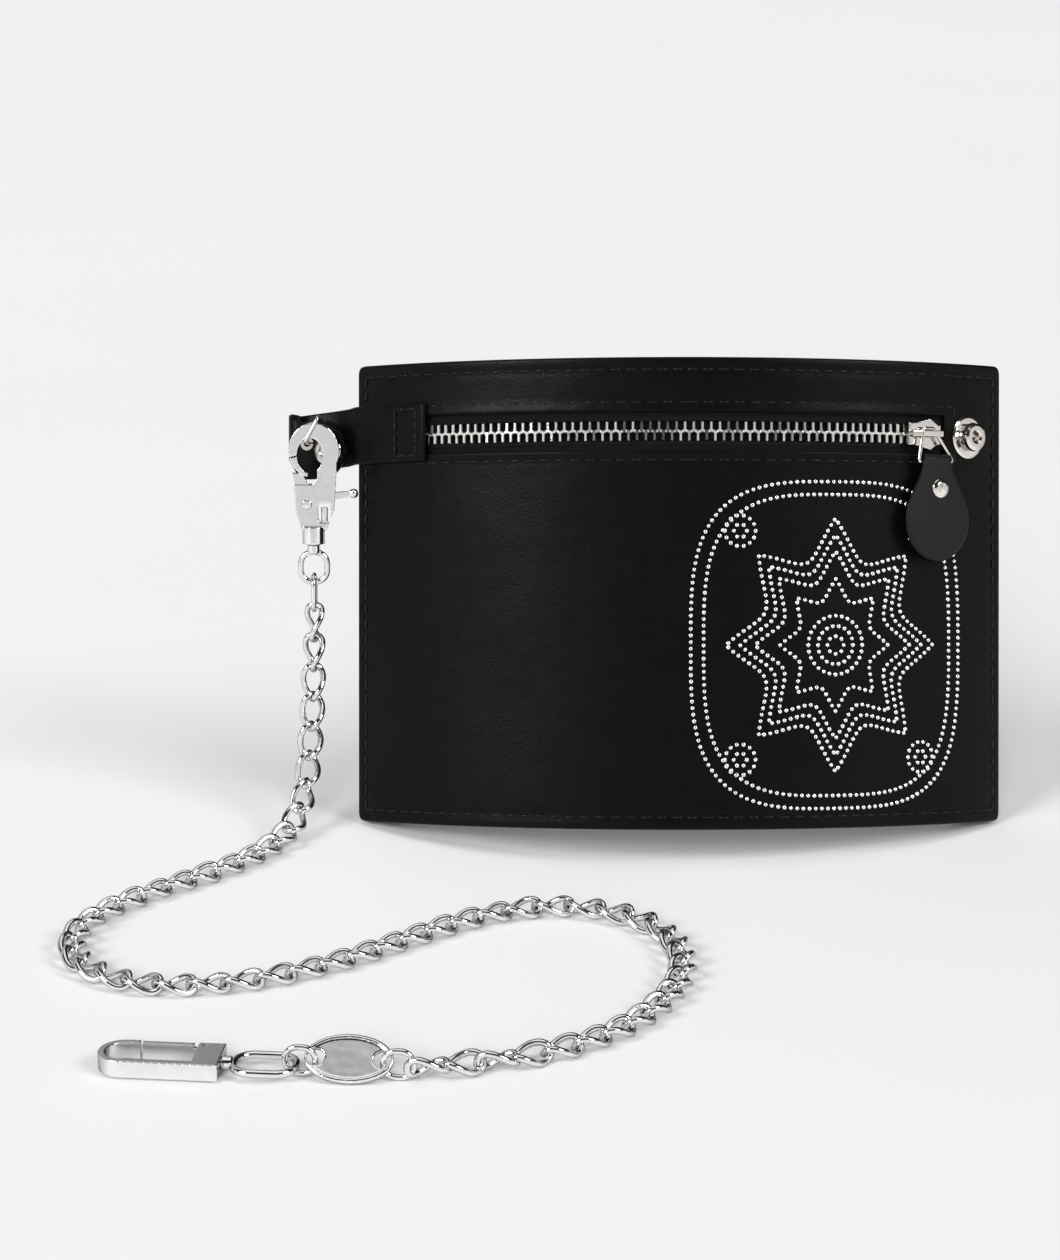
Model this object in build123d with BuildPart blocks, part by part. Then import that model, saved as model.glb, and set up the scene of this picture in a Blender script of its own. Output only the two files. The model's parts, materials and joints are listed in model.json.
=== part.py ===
"""Chain wallet: a bi-fold wallet with a zipped outer pocket, a snap strap and a curb chain with a belt clip.

Millimetres, +Z up, wallet open with its outer face towards -Y.
The open wallet is bent on one long arc, bulging forwards, and leans back on its lower corners.
The chain hangs from the strap at the left end and lies on the ground in front.
"""

import os
from math import atan2, cos, degrees, radians, sin, tan

from build123d import *

os.makedirs("parts", exist_ok=True)

# ---------------------------------------------------------------- driving dimensions
open_width = 200.0  # along the arc, wallet unfolded
height = 128.0  # bottom edge to top edge
bend_radius = 130.0  # radius of the outer face, seen from above
lean = 16.5  # degrees, top of the wallet back from the vertical
shift_x = 9.94  # the wallet's middle from the origin
shift_y = -38.04  # the front of the bottom edge from the origin
rise = 11.1  # the middle of the bottom edge above the ground

cover = 1.4  # outer leather, edges turned
spine_half = 9.0  # half the width of the folding strip
fold_gap = 0.35  # half gap at each fold line, where the skin is cut for the hinge
corner = 2.6  # rounded outer corners
edge_band = 4.0  # turned and stitched border

zip_height = 108.0  # centre line of the zipper above the bottom edge
window_low = 102.7
window_high = 113.3
window_left = -76.0
window_right = 77.5
tape = 0.6
tooth_pitch = 2.3
tooth_width = 1.05
tooth_depth = 2.2
tooth_reach = 2.65  # half the width of the closed row of teeth
tooth_overlap = 0.45  # how far each row passes the centre line
teeth_depth = 1.7  # depth of the teeth's centre behind the outer face

slider_at = 69.5  # arc position of the zip slider, closed
slider_length = 10.5
slider_width = 9.0

pocket_back = 4.2  # depth of the zip pocket's back wall
panel_front = 5.4  # depth of the panel that carries the card pockets
card_layer = 0.7
inner_depth = 8.3  # depth of the innermost card pocket

snap_at = 86.0  # arc position of the snap stud
snap_height = 107.6

strap_thick = 1.5
strap_width = 16.2
strap_sewn = -74.7  # arc position of the sewn end
strap_low = 100.6
free_drop = 1.9  # the free part of the strap hangs this much lower
flap_drop = 4.4

wire = 0.55  # radius of the strap ring's wire
hook_lean = 8.0  # degrees the hanging hook leans, foot forwards
link_wire = 0.72  # radius of the chain's wire
link_long = 11.2
link_wide = 7.8
chain_radius = 3.9

# ---------------------------------------------------------------- frames and helpers
base = Plane(
    origin=(shift_x, shift_y, rise),
    x_dir=(1, 0, 0),
    z_dir=(0, sin(radians(lean)), cos(radians(lean))),
)


def spot(x, depth, z):
    """A point given along the wallet, back from its front and up its face."""
    return base.origin + base.x_dir * x + base.y_dir * depth + base.z_dir * z


def face_plane(along, z, out=0.0, turn_back=0.0):
    """A plane on the outer face, looking outwards, at an arc position and a height."""
    turn = along / bend_radius
    normal = base.x_dir * sin(turn) - base.y_dir * cos(turn)
    centre = spot(0, bend_radius, z) + normal * (bend_radius + out)
    swing = turn - radians(turn_back)
    tangent = base.x_dir * cos(swing) + base.y_dir * sin(swing)
    facing = base.x_dir * sin(swing) - base.y_dir * cos(swing)
    return Plane(origin=centre, x_dir=tangent, z_dir=facing)


def curved_layer(near, far, start, stop, low, high):
    """A layer between two depths, two arc positions and two heights."""
    first = degrees(start / bend_radius) - 90
    turn = degrees((stop - start) / bend_radius)
    with BuildPart() as layer:
        with BuildSketch(base.offset(low)):
            with BuildLine():
                front = CenterArc((0, bend_radius), bend_radius - near, first, turn)
                back = CenterArc((0, bend_radius), bend_radius - far, first, turn)
                Line(front @ 0, back @ 0)
                Line(front @ 1, back @ 1)
            make_face()
        extrude(amount=high - low)
    return layer.part


def corner_edges(part, at_right, only_low=False):
    """The edges through the thickness at one end of a curved layer."""
    across = [
        edge
        for edge in part.edges().filter_by(GeomType.LINE)
        if abs((edge % 0.5).dot(base.z_dir)) < 0.1
    ]
    ends = ShapeList(across).sort_by(Axis.X, reverse=at_right)[:2]
    if only_low:
        return ends.sort_by(Axis.Z)[:1]
    return ends


def turned(plane, *profile):
    """A round piece about the plane's normal, from a profile of (radius, height) points."""
    side = Plane(origin=plane.origin, x_dir=plane.x_dir, z_dir=plane.y_dir * -1)
    with BuildPart() as piece:
        with BuildSketch(side):
            with BuildLine():
                Polyline(*profile, close=True)
            make_face()
        revolve(axis=Axis(plane.origin, plane.z_dir))
    return piece.part


def wire_loop(plane, corners, bend, wire_radius):
    """A closed loop of round wire through rounded corners given in a plane."""
    with BuildPart() as loop:
        with BuildLine(plane):
            course = FilletPolyline(*corners, radius=bend, close=True)
        with BuildSketch(Plane(origin=course @ 0.02, z_dir=course % 0.02)):
            Circle(wire_radius)
        sweep()
    return loop.part


def write(piece, name):
    """Label a finished piece and write it to its file."""
    piece.part.label = name
    export_step(piece.part, f"parts/{name}.step")


end = open_width / 2
fold = spine_half

# ---------------------------------------------------------------- covers
with BuildPart() as cover_left:
    add(curved_layer(0, cover, -end, -fold - fold_gap, 0, height))
    add(curved_layer(-1, 3, window_left, 0, window_low, window_high), mode=Mode.SUBTRACT)
    fillet(corner_edges(cover_left, at_right=False), corner)
write(cover_left, "cover_left")

with BuildPart() as cover_spine:
    add(curved_layer(0, cover, -fold + fold_gap, fold - fold_gap, 0, height))
    add(curved_layer(-1, 3, -20, 20, window_low, window_high), mode=Mode.SUBTRACT)
write(cover_spine, "cover_spine")

with BuildPart() as cover_right:
    add(curved_layer(0, cover, fold + fold_gap, end, 0, height))
    add(curved_layer(-1, 3, 0, window_right, window_low, window_high), mode=Mode.SUBTRACT)
    fillet(corner_edges(cover_right, at_right=True), corner)
    with Locations(face_plane(snap_at, snap_height)):
        Cylinder(1.9, 10, mode=Mode.SUBTRACT)
write(cover_right, "cover_right")

# ---------------------------------------------------------------- turned borders, which hold the layers together
with BuildPart() as binding_left:
    add(curved_layer(cover, inner_depth, -end, -fold - 3, 0, height - 12))
    add(curved_layer(0, 12, -end + edge_band, 0, edge_band, height), mode=Mode.SUBTRACT)
    fillet(corner_edges(binding_left, at_right=False).sort_by(Axis.Z)[:1], corner)
write(binding_left, "binding_left")

with BuildPart() as binding_right:
    add(curved_layer(cover, inner_depth, fold + 3, end, 0, height - 12))
    add(curved_layer(0, 12, 0, end - edge_band, edge_band, height), mode=Mode.SUBTRACT)
    fillet(corner_edges(binding_right, at_right=True).sort_by(Axis.Z)[:1], corner)
write(binding_right, "binding_right")

# ---------------------------------------------------------------- zip pocket lining, bill divider and card pockets
inside = end - edge_band

with BuildPart() as pocket_lining_left:
    add(curved_layer(pocket_back, pocket_back + 0.6, -inside, -fold - 2, edge_band, height - 3))
write(pocket_lining_left, "pocket_lining_left")

with BuildPart() as pocket_lining_right:
    add(curved_layer(pocket_back, pocket_back + 0.6, fold + 2, inside, edge_band, height - 3))
write(pocket_lining_right, "pocket_lining_right")

with BuildPart() as spine_lining:
    add(curved_layer(2.2, 2.8, -fold + 1.6, fold - 1.6, 0, window_low - 5.2))
write(spine_lining, "spine_lining")

with BuildPart() as inner_panel_left:
    add(curved_layer(panel_front, panel_front + 0.8, -inside, -fold - 3, edge_band, height - 12))
write(inner_panel_left, "inner_panel_left")

with BuildPart() as inner_panel_right:
    add(curved_layer(panel_front, panel_front + 0.8, fold + 3, inside, edge_band, height - 12))
write(inner_panel_right, "inner_panel_right")

card_tops = {"upper": 100.0, "middle": 86.0, "lower": 72.0}
card_front = panel_front + 0.8

with BuildPart() as card_pocket_left_upper:
    add(curved_layer(card_front, card_front + card_layer, -inside, -fold - 3, edge_band, card_tops["upper"]))
write(card_pocket_left_upper, "card_pocket_left_upper")

with BuildPart() as card_pocket_left_middle:
    near = card_front + card_layer
    add(curved_layer(near, near + card_layer, -inside, -fold - 3, edge_band, card_tops["middle"]))
write(card_pocket_left_middle, "card_pocket_left_middle")

with BuildPart() as card_pocket_left_lower:
    near = card_front + 2 * card_layer
    add(curved_layer(near, near + card_layer, -inside, -fold - 3, edge_band, card_tops["lower"]))
write(card_pocket_left_lower, "card_pocket_left_lower")

with BuildPart() as card_pocket_right_upper:
    add(curved_layer(card_front, card_front + card_layer, fold + 3, inside, edge_band, card_tops["upper"]))
write(card_pocket_right_upper, "card_pocket_right_upper")

with BuildPart() as card_pocket_right_middle:
    near = card_front + card_layer
    add(curved_layer(near, near + card_layer, fold + 3, inside, edge_band, card_tops["middle"]))
write(card_pocket_right_middle, "card_pocket_right_middle")

with BuildPart() as card_pocket_right_lower:
    near = card_front + 2 * card_layer
    add(curved_layer(near, near + card_layer, fold + 3, inside, edge_band, card_tops["lower"]))
write(card_pocket_right_lower, "card_pocket_right_lower")

# ---------------------------------------------------------------- zipper tapes and teeth
tape_top = zip_height + 11.0
tape_bottom = zip_height - 11.0
tape_near = cover
tape_far = cover + tape

with BuildPart() as zip_tape_left:
    add(curved_layer(tape_near, tape_far, -82, -fold - 0.6, zip_height + tooth_reach, tape_top))
    add(curved_layer(tape_near, tape_far, -82, -fold - 0.6, tape_bottom, zip_height - tooth_reach))
write(zip_tape_left, "zip_tape_left")

with BuildPart() as zip_tape_spine:
    add(curved_layer(tape_near, tape_far, -fold + 0.6, fold - 0.6, zip_height + tooth_reach, tape_top))
    add(curved_layer(tape_near, tape_far, -fold + 0.6, fold - 0.6, tape_bottom, zip_height - tooth_reach))
write(zip_tape_spine, "zip_tape_spine")

with BuildPart() as zip_tape_right:
    add(curved_layer(tape_near, tape_far, fold + 0.6, 80.5, zip_height + tooth_reach, tape_top))
    add(curved_layer(tape_near, tape_far, fold + 0.6, 80.5, tape_bottom, zip_height - tooth_reach))
write(zip_tape_right, "zip_tape_right")


def tooth_row(first, count, low, high):
    """A row of separate teeth, the first one centred at an arc position."""
    step = degrees(tooth_pitch / bend_radius)
    with BuildPart() as row:
        with BuildSketch(base.offset(low)):
            with Locations((0, bend_radius)):
                with PolarLocations(
                    bend_radius - teeth_depth,
                    count,
                    start_angle=degrees(first / bend_radius) - 90,
                    angular_range=step * (count - 1),
                    endpoint=True,
                ):
                    Rectangle(tooth_depth, tooth_width)
        extrude(amount=high - low)
    return row.part


def both_rows(first, count):
    """The upper row and the lower row, half a pitch apart."""
    upper = tooth_row(first, count, zip_height - tooth_overlap, zip_height + tooth_reach)
    lower = tooth_row(first + tooth_pitch / 2, count, zip_height - tooth_reach, zip_height + tooth_overlap)
    return upper, lower


with BuildPart() as zip_teeth_left:
    add(both_rows(-11.9 - 27 * tooth_pitch, 28))
write(zip_teeth_left, "zip_teeth_left")

with BuildPart() as zip_teeth_spine:
    add(both_rows(-7.5, 7))
write(zip_teeth_spine, "zip_teeth_spine")

with BuildPart() as zip_teeth_right:
    add(both_rows(10.9, 26))
write(zip_teeth_right, "zip_teeth_right")

# two crimped stops just past the closed slider
with BuildPart() as zip_stop:
    with BuildSketch(face_plane(76.2, zip_height, -teeth_depth - 0.8)):
        with Locations((0, 1.6), (0, -1.6)):
            RectangleRounded(1.5, 2.0, 0.4)
    extrude(amount=1.6)
write(zip_stop, "zip_stop")

# ---------------------------------------------------------------- slider, bail and leather pull
slider_face = face_plane(slider_at, zip_height)
plate_low = -teeth_depth + tooth_depth / 2 + 0.35
plate_high = plate_low + 1.5
tunnel = 3.0  # room for the bail between the plate and the bridge
bail_out = plate_high + tunnel / 2

with BuildPart() as zip_slider:
    with BuildSketch(slider_face.offset(plate_low)):
        with BuildLine():
            half = slider_length / 2
            wide = slider_width / 2
            Polyline(
                (-half, 1.4 - wide),
                (-half, wide - 1.4),
                (3.0 - half, wide - 1.1),
                (half - 3.2, wide),
                (half, wide - 2.2),
                (half, 2.2 - wide),
                (half - 3.2, -wide),
                (3.0 - half, 1.1 - wide),
                close=True,
            )
        make_face()
    extrude(amount=plate_high - plate_low)
    fillet(zip_slider.faces().sort_by(Axis(slider_face.origin, slider_face.z_dir))[-1].edges(), 0.4)
    # the bridge arches over the plate from nose to tail
    with BuildSketch(Plane(origin=slider_face.origin, x_dir=slider_face.x_dir, z_dir=slider_face.y_dir * -1)):
        with BuildLine():
            Polyline(
                (-5.2, plate_high - 0.3),
                (-5.2, plate_high + 1.8),
                (-3.4, plate_high + tunnel + 1.0),
                (3.4, plate_high + tunnel + 1.0),
                (5.2, plate_high + 1.8),
                (5.2, plate_high - 0.3),
                close=True,
            )
        make_face()
        with Locations((0, plate_high + tunnel / 2)):
            RectangleRounded(8.9, tunnel, 1.0, mode=Mode.SUBTRACT)
    extrude(amount=0.8, both=True)
write(zip_slider, "zip_slider")

with BuildPart() as zip_slider_back:
    with BuildSketch(slider_face.offset(-teeth_depth - tooth_depth / 2 - 0.85)):
        RectangleRounded(slider_length - 1.2, 7.6, 2.0)
    extrude(amount=0.5)
write(zip_slider_back, "zip_slider_back")

bail_foot = -7.8  # the bail's lower bar, from the slider's centre line
bail_side = 2.8
bail_half = 6.0
with BuildPart() as zip_bail:
    add(
        wire_loop(
            slider_face.offset(bail_out),
            [(-1.7, 1.5), (1.7, 1.5), (bail_side + bail_half, bail_foot), (bail_side - bail_half, bail_foot)],
            0.75,
            0.5,
        )
    )
write(zip_bail, "zip_bail")

pull_origin = slider_face.origin + slider_face.x_dir * bail_side + slider_face.y_dir * bail_foot
pull_plane = Plane(pull_origin + slider_face.z_dir * bail_out, slider_face.x_dir, slider_face.z_dir)
pull_gap = 0.62  # half the space between the two leathers, round the bail's bar
pull_leather = 1.1
rivet_drop = -7.2
pull_rivet_radius = 1.3


def pull_outline():
    """The teardrop outline of the pull, hanging from the bail's bar at the origin."""
    with BuildSketch() as outline:
        with BuildLine():
            rim = Spline(
                (-4.4, 1.2),
                (-6.2, -4.4),
                (-10.6, -13.2),
                (-9.6, -21.6),
                (0.0, -27.6),
                (9.6, -21.6),
                (10.6, -13.2),
                (6.2, -4.4),
                (4.4, 1.2),
            )
            Line(rim @ 1, rim @ 0)
        make_face()
        with Locations((0, rivet_drop)):
            Circle(pull_rivet_radius, mode=Mode.SUBTRACT)
    return outline.sketch


with BuildPart() as pull_front:
    with BuildSketch(pull_plane.offset(pull_gap)):
        add(pull_outline())
    extrude(amount=pull_leather)
write(pull_front, "pull_front")

with BuildPart() as pull_back:
    with BuildSketch(pull_plane.offset(-pull_gap - pull_leather)):
        add(pull_outline())
    extrude(amount=pull_leather)
write(pull_back, "pull_back")

# a filler closes the space between the two leathers below the bar
with BuildPart() as pull_core:
    with BuildSketch(pull_plane.offset(-pull_gap)):
        add(pull_outline())
        with Locations((0, 9.2)):
            Rectangle(30, 20, mode=Mode.SUBTRACT)
    extrude(amount=2 * pull_gap)
write(pull_core, "pull_core")

rivet_plane = Plane(pull_plane.origin + pull_plane.y_dir * rivet_drop, pull_plane.x_dir, pull_plane.z_dir)
skin = pull_gap + pull_leather
with BuildPart() as pull_rivet:
    add(
        turned(
            rivet_plane,
            (0, -skin - 0.5),
            (1.8, -skin - 0.4),
            (2.3, -skin),
            (pull_rivet_radius, -skin),
            (pull_rivet_radius, skin),
            (2.8, skin),
            (2.6, skin + 0.5),
            (1.7, skin + 1.0),
            (0, skin + 1.2),
        )
    )
write(pull_rivet, "pull_rivet")

# ---------------------------------------------------------------- snap stud on the right half
snap_face = face_plane(snap_at, snap_height)

with BuildPart() as snap_stud:
    add(
        turned(
            snap_face,
            (0, -1.55),
            (1.6, -1.55),
            (1.6, 0.05),
            (5.9, 0.05),
            (5.9, 0.4),
            (5.3, 0.75),
            (3.7, 0.85),
            (3.55, 1.6),
            (4.0, 2.5),
            (3.8, 3.4),
            (3.0, 3.9),
            (2.0, 3.9),
            (1.5, 3.4),
            (1.5, 1.2),
            (0, 1.2),
        )
    )
write(snap_stud, "snap_stud")

with BuildPart() as snap_stud_back:
    add(turned(snap_face, (0, -2.3), (4.6, -2.1), (5.0, -1.75), (5.0, -1.55), (0, -1.55)))
write(snap_stud_back, "snap_stud_back")

# ---------------------------------------------------------------- strap
free_low = strap_low - free_drop
flap_low = strap_low - flap_drop
flap_high = flap_low + strap_width
half_strap = strap_thick / 2

edge_turn = -end / bend_radius
edge_x = (bend_radius + half_strap) * sin(edge_turn)
edge_depth = bend_radius - (bend_radius + half_strap) * cos(edge_turn)
fold_x = -106.6
fold_back = 44.6  # depth of the strap where it reaches the fold
fold_front = 39.4  # and where the flap leaves it
flap_end = (-93.9, 35.7)

with BuildPart() as strap_base:
    add(curved_layer(-strap_thick, 0, -end, strap_sewn, strap_low, strap_low + strap_width))
write(strap_base, "strap_base")

with BuildPart() as strap_free:
    with BuildSketch(base.offset(free_low)):
        with BuildLine():
            Polyline((edge_x, edge_depth), (-96.4, 41.0), (fold_x, fold_back))
        trace(line_width=strap_thick)
    extrude(amount=strap_width)
    add(curved_layer(-strap_thick - 2, 12, -end, 0, 0, height), mode=Mode.SUBTRACT)
write(strap_free, "strap_free")

eyelet_at = (-104.6, 106.4)
flap_slope = atan2(flap_end[1] - fold_front, flap_end[0] - fold_x)
flap_x = base.x_dir * cos(flap_slope) + base.y_dir * sin(flap_slope)
flap_out = base.x_dir * sin(flap_slope) - base.y_dir * cos(flap_slope)


def flap_plane(x, z):
    """A plane on the flap's mid-surface, facing forwards."""
    depth = fold_front + (x - fold_x) * tan(flap_slope)
    return Plane(spot(x, depth, z), flap_x, flap_out)


socket_at = (-98.6, flap_low + strap_width / 2)
eyelet_plane = flap_plane(*eyelet_at)
socket_plane = flap_plane(*socket_at)

with BuildPart() as strap_flap:
    with BuildSketch(base.offset(flap_low)):
        with BuildLine():
            Polyline((fold_x, fold_front), flap_end)
        trace(line_width=strap_thick)
    extrude(amount=strap_width)
    fillet(corner_edges(strap_flap, at_right=True), 6.0)
    with BuildSketch(eyelet_plane.offset(-5)):
        Circle(1.35)
    extrude(amount=10, mode=Mode.SUBTRACT)
    with BuildSketch(socket_plane.offset(-5)):
        Circle(2.0)
    extrude(amount=10, mode=Mode.SUBTRACT)
write(strap_flap, "strap_flap")

# the bend itself, which the strap wraps round
with BuildPart() as strap_fold:
    with BuildSketch(base.offset(flap_low)):
        with BuildLine():
            middle = (fold_back + fold_front) / 2
            bend = (fold_back - fold_front) / 2
            outer = CenterArc((fold_x - 0.35, middle), bend + half_strap, 90, 180)
            inner = CenterArc((fold_x - 0.35, middle), bend - half_strap, 90, 180)
            Line(outer @ 0, inner @ 0)
            Line(outer @ 1, inner @ 1)
        make_face()
    extrude(amount=strap_width)
write(strap_fold, "strap_fold")

with BuildPart() as strap_eyelet:
    add(
        turned(
            eyelet_plane,
            (0.95, -half_strap - 0.25),
            (1.9, -half_strap - 0.25),
            (1.9, -half_strap),
            (1.35, -half_strap),
            (1.35, half_strap),
            (1.9, half_strap),
            (1.9, half_strap + 0.25),
            (0.95, half_strap + 0.25),
        )
    )
write(strap_eyelet, "strap_eyelet")

with BuildPart() as snap_socket:
    add(
        turned(
            socket_plane,
            (0, -half_strap),
            (2.0, -half_strap),
            (2.0, half_strap),
            (3.9, half_strap),
            (3.9, half_strap + 0.5),
            (3.3, half_strap + 1.0),
            (2.4, half_strap + 1.0),
            (2.1, half_strap + 0.4),
            (0.9, half_strap + 0.4),
            (0.9, half_strap - 0.6),
            (0, half_strap - 0.6),
        )
    )
write(snap_socket, "snap_socket")

with BuildPart() as snap_cap:
    add(
        turned(
            socket_plane,
            (0, -half_strap - 1.0),
            (2.4, -half_strap - 0.9),
            (3.9, -half_strap - 0.5),
            (4.2, -half_strap),
            (0, -half_strap),
        )
    )
write(snap_cap, "snap_cap")

# ---------------------------------------------------------------- strap ring and the trigger hook that hangs in it
pivot_depth = 30.3
pivot = spot(eyelet_at[0], pivot_depth, eyelet_at[1])
ring_tilt = radians(28)
ring_up = base.z_dir * cos(ring_tilt) + base.x_dir * sin(ring_tilt)
ring_back = 40.6  # depth of the ring's back leg, inside the fold
ring_front = 26.8
ring_high = 7.7
ring_plane = Plane(
    origin=spot(eyelet_at[0], (ring_back + ring_front) / 2, eyelet_at[1]) + ring_up * (ring_high / 2),
    x_dir=base.y_dir,
    z_dir=base.y_dir.cross(ring_up),
)

with BuildPart() as strap_ring:
    ring_half = (ring_back - ring_front) / 2
    add(
        wire_loop(
            ring_plane,
            [
                (-ring_half, -ring_high / 2),
                (ring_half, -ring_high / 2),
                (ring_half, ring_high / 2),
                (-ring_half, ring_high / 2),
            ],
            1.1,
            wire,
        )
    )
write(strap_ring, "strap_ring")

hook_out = Vector(0, -cos(radians(hook_lean)), sin(radians(hook_lean)))
hook_plane = Plane(origin=pivot, x_dir=(1, 0, 0), z_dir=hook_out)
plate = 3.0
slot = 2.0
jaw = (2.2, -2.2)
throat = (1.1, -3.6)
hub = (0.1, -17.4)
swivel_x = 1.9
base_top = -24.6
base_low = -28.6


def hook_body_outline():
    """The trigger hook's body: a round jaw, a cheeked middle and a narrower foot."""
    with BuildSketch() as outline:
        with Locations(jaw):
            Ellipse(7.1, 7.7)
        with BuildLine():
            Polyline(
                (-2.8, -6.0),
                (-3.4, -12.0),
                (-3.1, -19.0),
                (-1.6, base_top),
                (5.6, base_top),
                (7.7, -19.0),
                (8.2, -12.0),
                (8.6, -6.0),
                close=True,
            )
        make_face()
        with Locations(throat):
            Ellipse(3.6, 4.9, mode=Mode.SUBTRACT)
    return outline.sketch


limb_reach = 13.9  # the limb ends on an arc about the hub, so that it can swing inwards


def lever_region():
    """The left limb of the jaw, which belongs to the lever, with room for its swing."""
    with BuildSketch() as region:
        with BuildLine():
            Polyline(
                (-9.0, -1.0),
                (0.9, -1.0),
                (0.9, -7.4),
                (3.1, -7.4),
                (3.1, -9.8),
                (1.8, -11.7),
                (-9.0, -11.7),
                close=True,
            )
        make_face()
        with Locations(hub):
            Circle(limb_reach + 0.17, mode=Mode.INTERSECT)
    return region.sketch


with BuildPart() as hook_body:
    with BuildSketch(hook_plane.offset(-plate / 2)):
        add(hook_body_outline())
        add(lever_region(), mode=Mode.SUBTRACT)
    extrude(amount=plate)
    # the slot between the cheeks, open to both sides
    with BuildSketch(hook_plane.offset(-slot / 2)):
        with Locations((2.5, -16.6)):
            Rectangle(24, 10.6)
    extrude(amount=slot, mode=Mode.SUBTRACT)
    # the spring's window
    with BuildSketch(hook_plane.offset(-plate)):
        with Locations((5.0, -19.8)):
            RectangleRounded(3.6, 5.6, 1.2)
    extrude(amount=2 * plate, mode=Mode.SUBTRACT)
    with BuildSketch(hook_plane.offset(-plate)):
        with Locations(hub):
            Circle(1.05)
    extrude(amount=2 * plate, mode=Mode.SUBTRACT)
    # the foot, bored for the swivel's stem
    foot = Plane(origin=hook_plane.origin + hook_plane.x_dir * swivel_x, x_dir=(1, 0, 0), z_dir=hook_plane.y_dir)
    with BuildSketch(foot.offset(base_low)):
        Circle(3.2)
    extrude(amount=base_top - base_low + 0.9)
    with BuildSketch(foot.offset(base_low)):
        Circle(1.3)
    extrude(amount=5.0, mode=Mode.SUBTRACT)
write(hook_body, "hook_body")

with BuildPart() as hook_rivet:
    rivet_origin = hook_plane.origin + hook_plane.x_dir * hub[0] + hook_plane.y_dir * hub[1]
    add(
        turned(
            Plane(rivet_origin, hook_plane.x_dir, hook_plane.z_dir),
            (0, -plate / 2 - 0.5),
            (1.2, -plate / 2 - 0.4),
            (1.6, -plate / 2),
            (1.05, -plate / 2),
            (1.05, plate / 2),
            (1.6, plate / 2),
            (1.2, plate / 2 + 0.4),
            (0, plate / 2 + 0.5),
        )
    )
write(hook_rivet, "hook_rivet")

with BuildPart() as hook_lever:
    # limb, between the jaw's nose and the hub
    with BuildSketch(hook_plane.offset(-plate / 2)):
        with BuildSketch(mode=Mode.PRIVATE) as ring_part:
            with Locations(jaw):
                Ellipse(7.1, 7.7)
            with Locations(throat):
                Ellipse(3.6, 4.9, mode=Mode.SUBTRACT)
        with BuildLine():
            Polyline((-9.0, -1.0), (0.5, -1.0), (0.5, -9.3), (-0.9, -11.0), (-9.0, -11.0), close=True)
        make_face()
        with Locations(hub):
            Circle(limb_reach - 0.13, mode=Mode.INTERSECT)
        add(ring_part.sketch, mode=Mode.INTERSECT)
    extrude(amount=plate)
    # web and thumb bar, which run in the slot
    with BuildSketch(hook_plane.offset(0.15 - slot / 2)):
        with BuildLine():
            Polyline((-4.0, -8.6), (-1.0, -8.6), (1.6, -14.4), (13.0, -13.6), (13.0, -15.2), (2.6, -17.0), (-2.0, -19.0), close=True)
        make_face()
        with Locations(hub):
            Circle(2.6)
            Circle(1.1, mode=Mode.SUBTRACT)
    extrude(amount=slot - 0.3)
    with Locations(Location(hook_plane.origin + hook_plane.x_dir * 13.2 + hook_plane.y_dir * -14.4)):
        Sphere(1.35)
write(hook_lever, "hook_lever")

with BuildPart() as hook_spring:
    spring_plane = Plane(hook_plane.origin + hook_plane.x_dir * 5.0, (1, 0, 0), hook_plane.y_dir)
    with BuildSketch(spring_plane.offset(-22.3)):
        Circle(0.95)
        Circle(0.5, mode=Mode.SUBTRACT)
    extrude(amount=4.0)
write(hook_spring, "hook_spring")

# ---------------------------------------------------------------- swivel eye and the first link
eye_low = -40.2
eye_high = -30.2
eye_wire = 0.85
eye_plane = Plane(
    origin=hook_plane.origin + hook_plane.x_dir * swivel_x + hook_plane.y_dir * ((eye_low + eye_high) / 2),
    x_dir=(1, 0, 0),
    z_dir=hook_out,
)
with BuildPart() as hook_eye:
    half_eye = (eye_high - eye_low) / 2 - eye_wire
    add(
        wire_loop(
            eye_plane,
            [(-3.7, -half_eye), (3.7, -half_eye), (3.7, half_eye), (-3.7, half_eye)],
            3.2,
            eye_wire,
        )
    )
    with BuildSketch(foot.offset(eye_high - 1.0)):
        Circle(1.8)
    extrude(amount=base_low - 0.3 - eye_high + 1.0)
    with BuildSketch(foot.offset(base_low - 0.5)):
        Circle(1.22)
    extrude(amount=4.8)
write(hook_eye, "hook_eye")

link_top = eye_low + 2 * eye_wire + 2 * link_wire + 0.25
link_middle = link_top - link_long / 2
link_plane = Plane(
    origin=hook_plane.origin + hook_plane.x_dir * swivel_x + hook_plane.y_dir * link_middle,
    x_dir=hook_out,
    z_dir=(1, 0, 0),
)
with BuildPart() as first_link:
    half_long = link_long / 2 - link_wire
    half_wide = link_wide / 2 - link_wire
    add(
        wire_loop(
            link_plane,
            [(-half_wide, -half_long), (half_wide, -half_long), (half_wide, half_long), (-half_wide, half_long)],
            half_wide - 0.3,
            link_wire,
        )
    )
write(first_link, "first_link")

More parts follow.
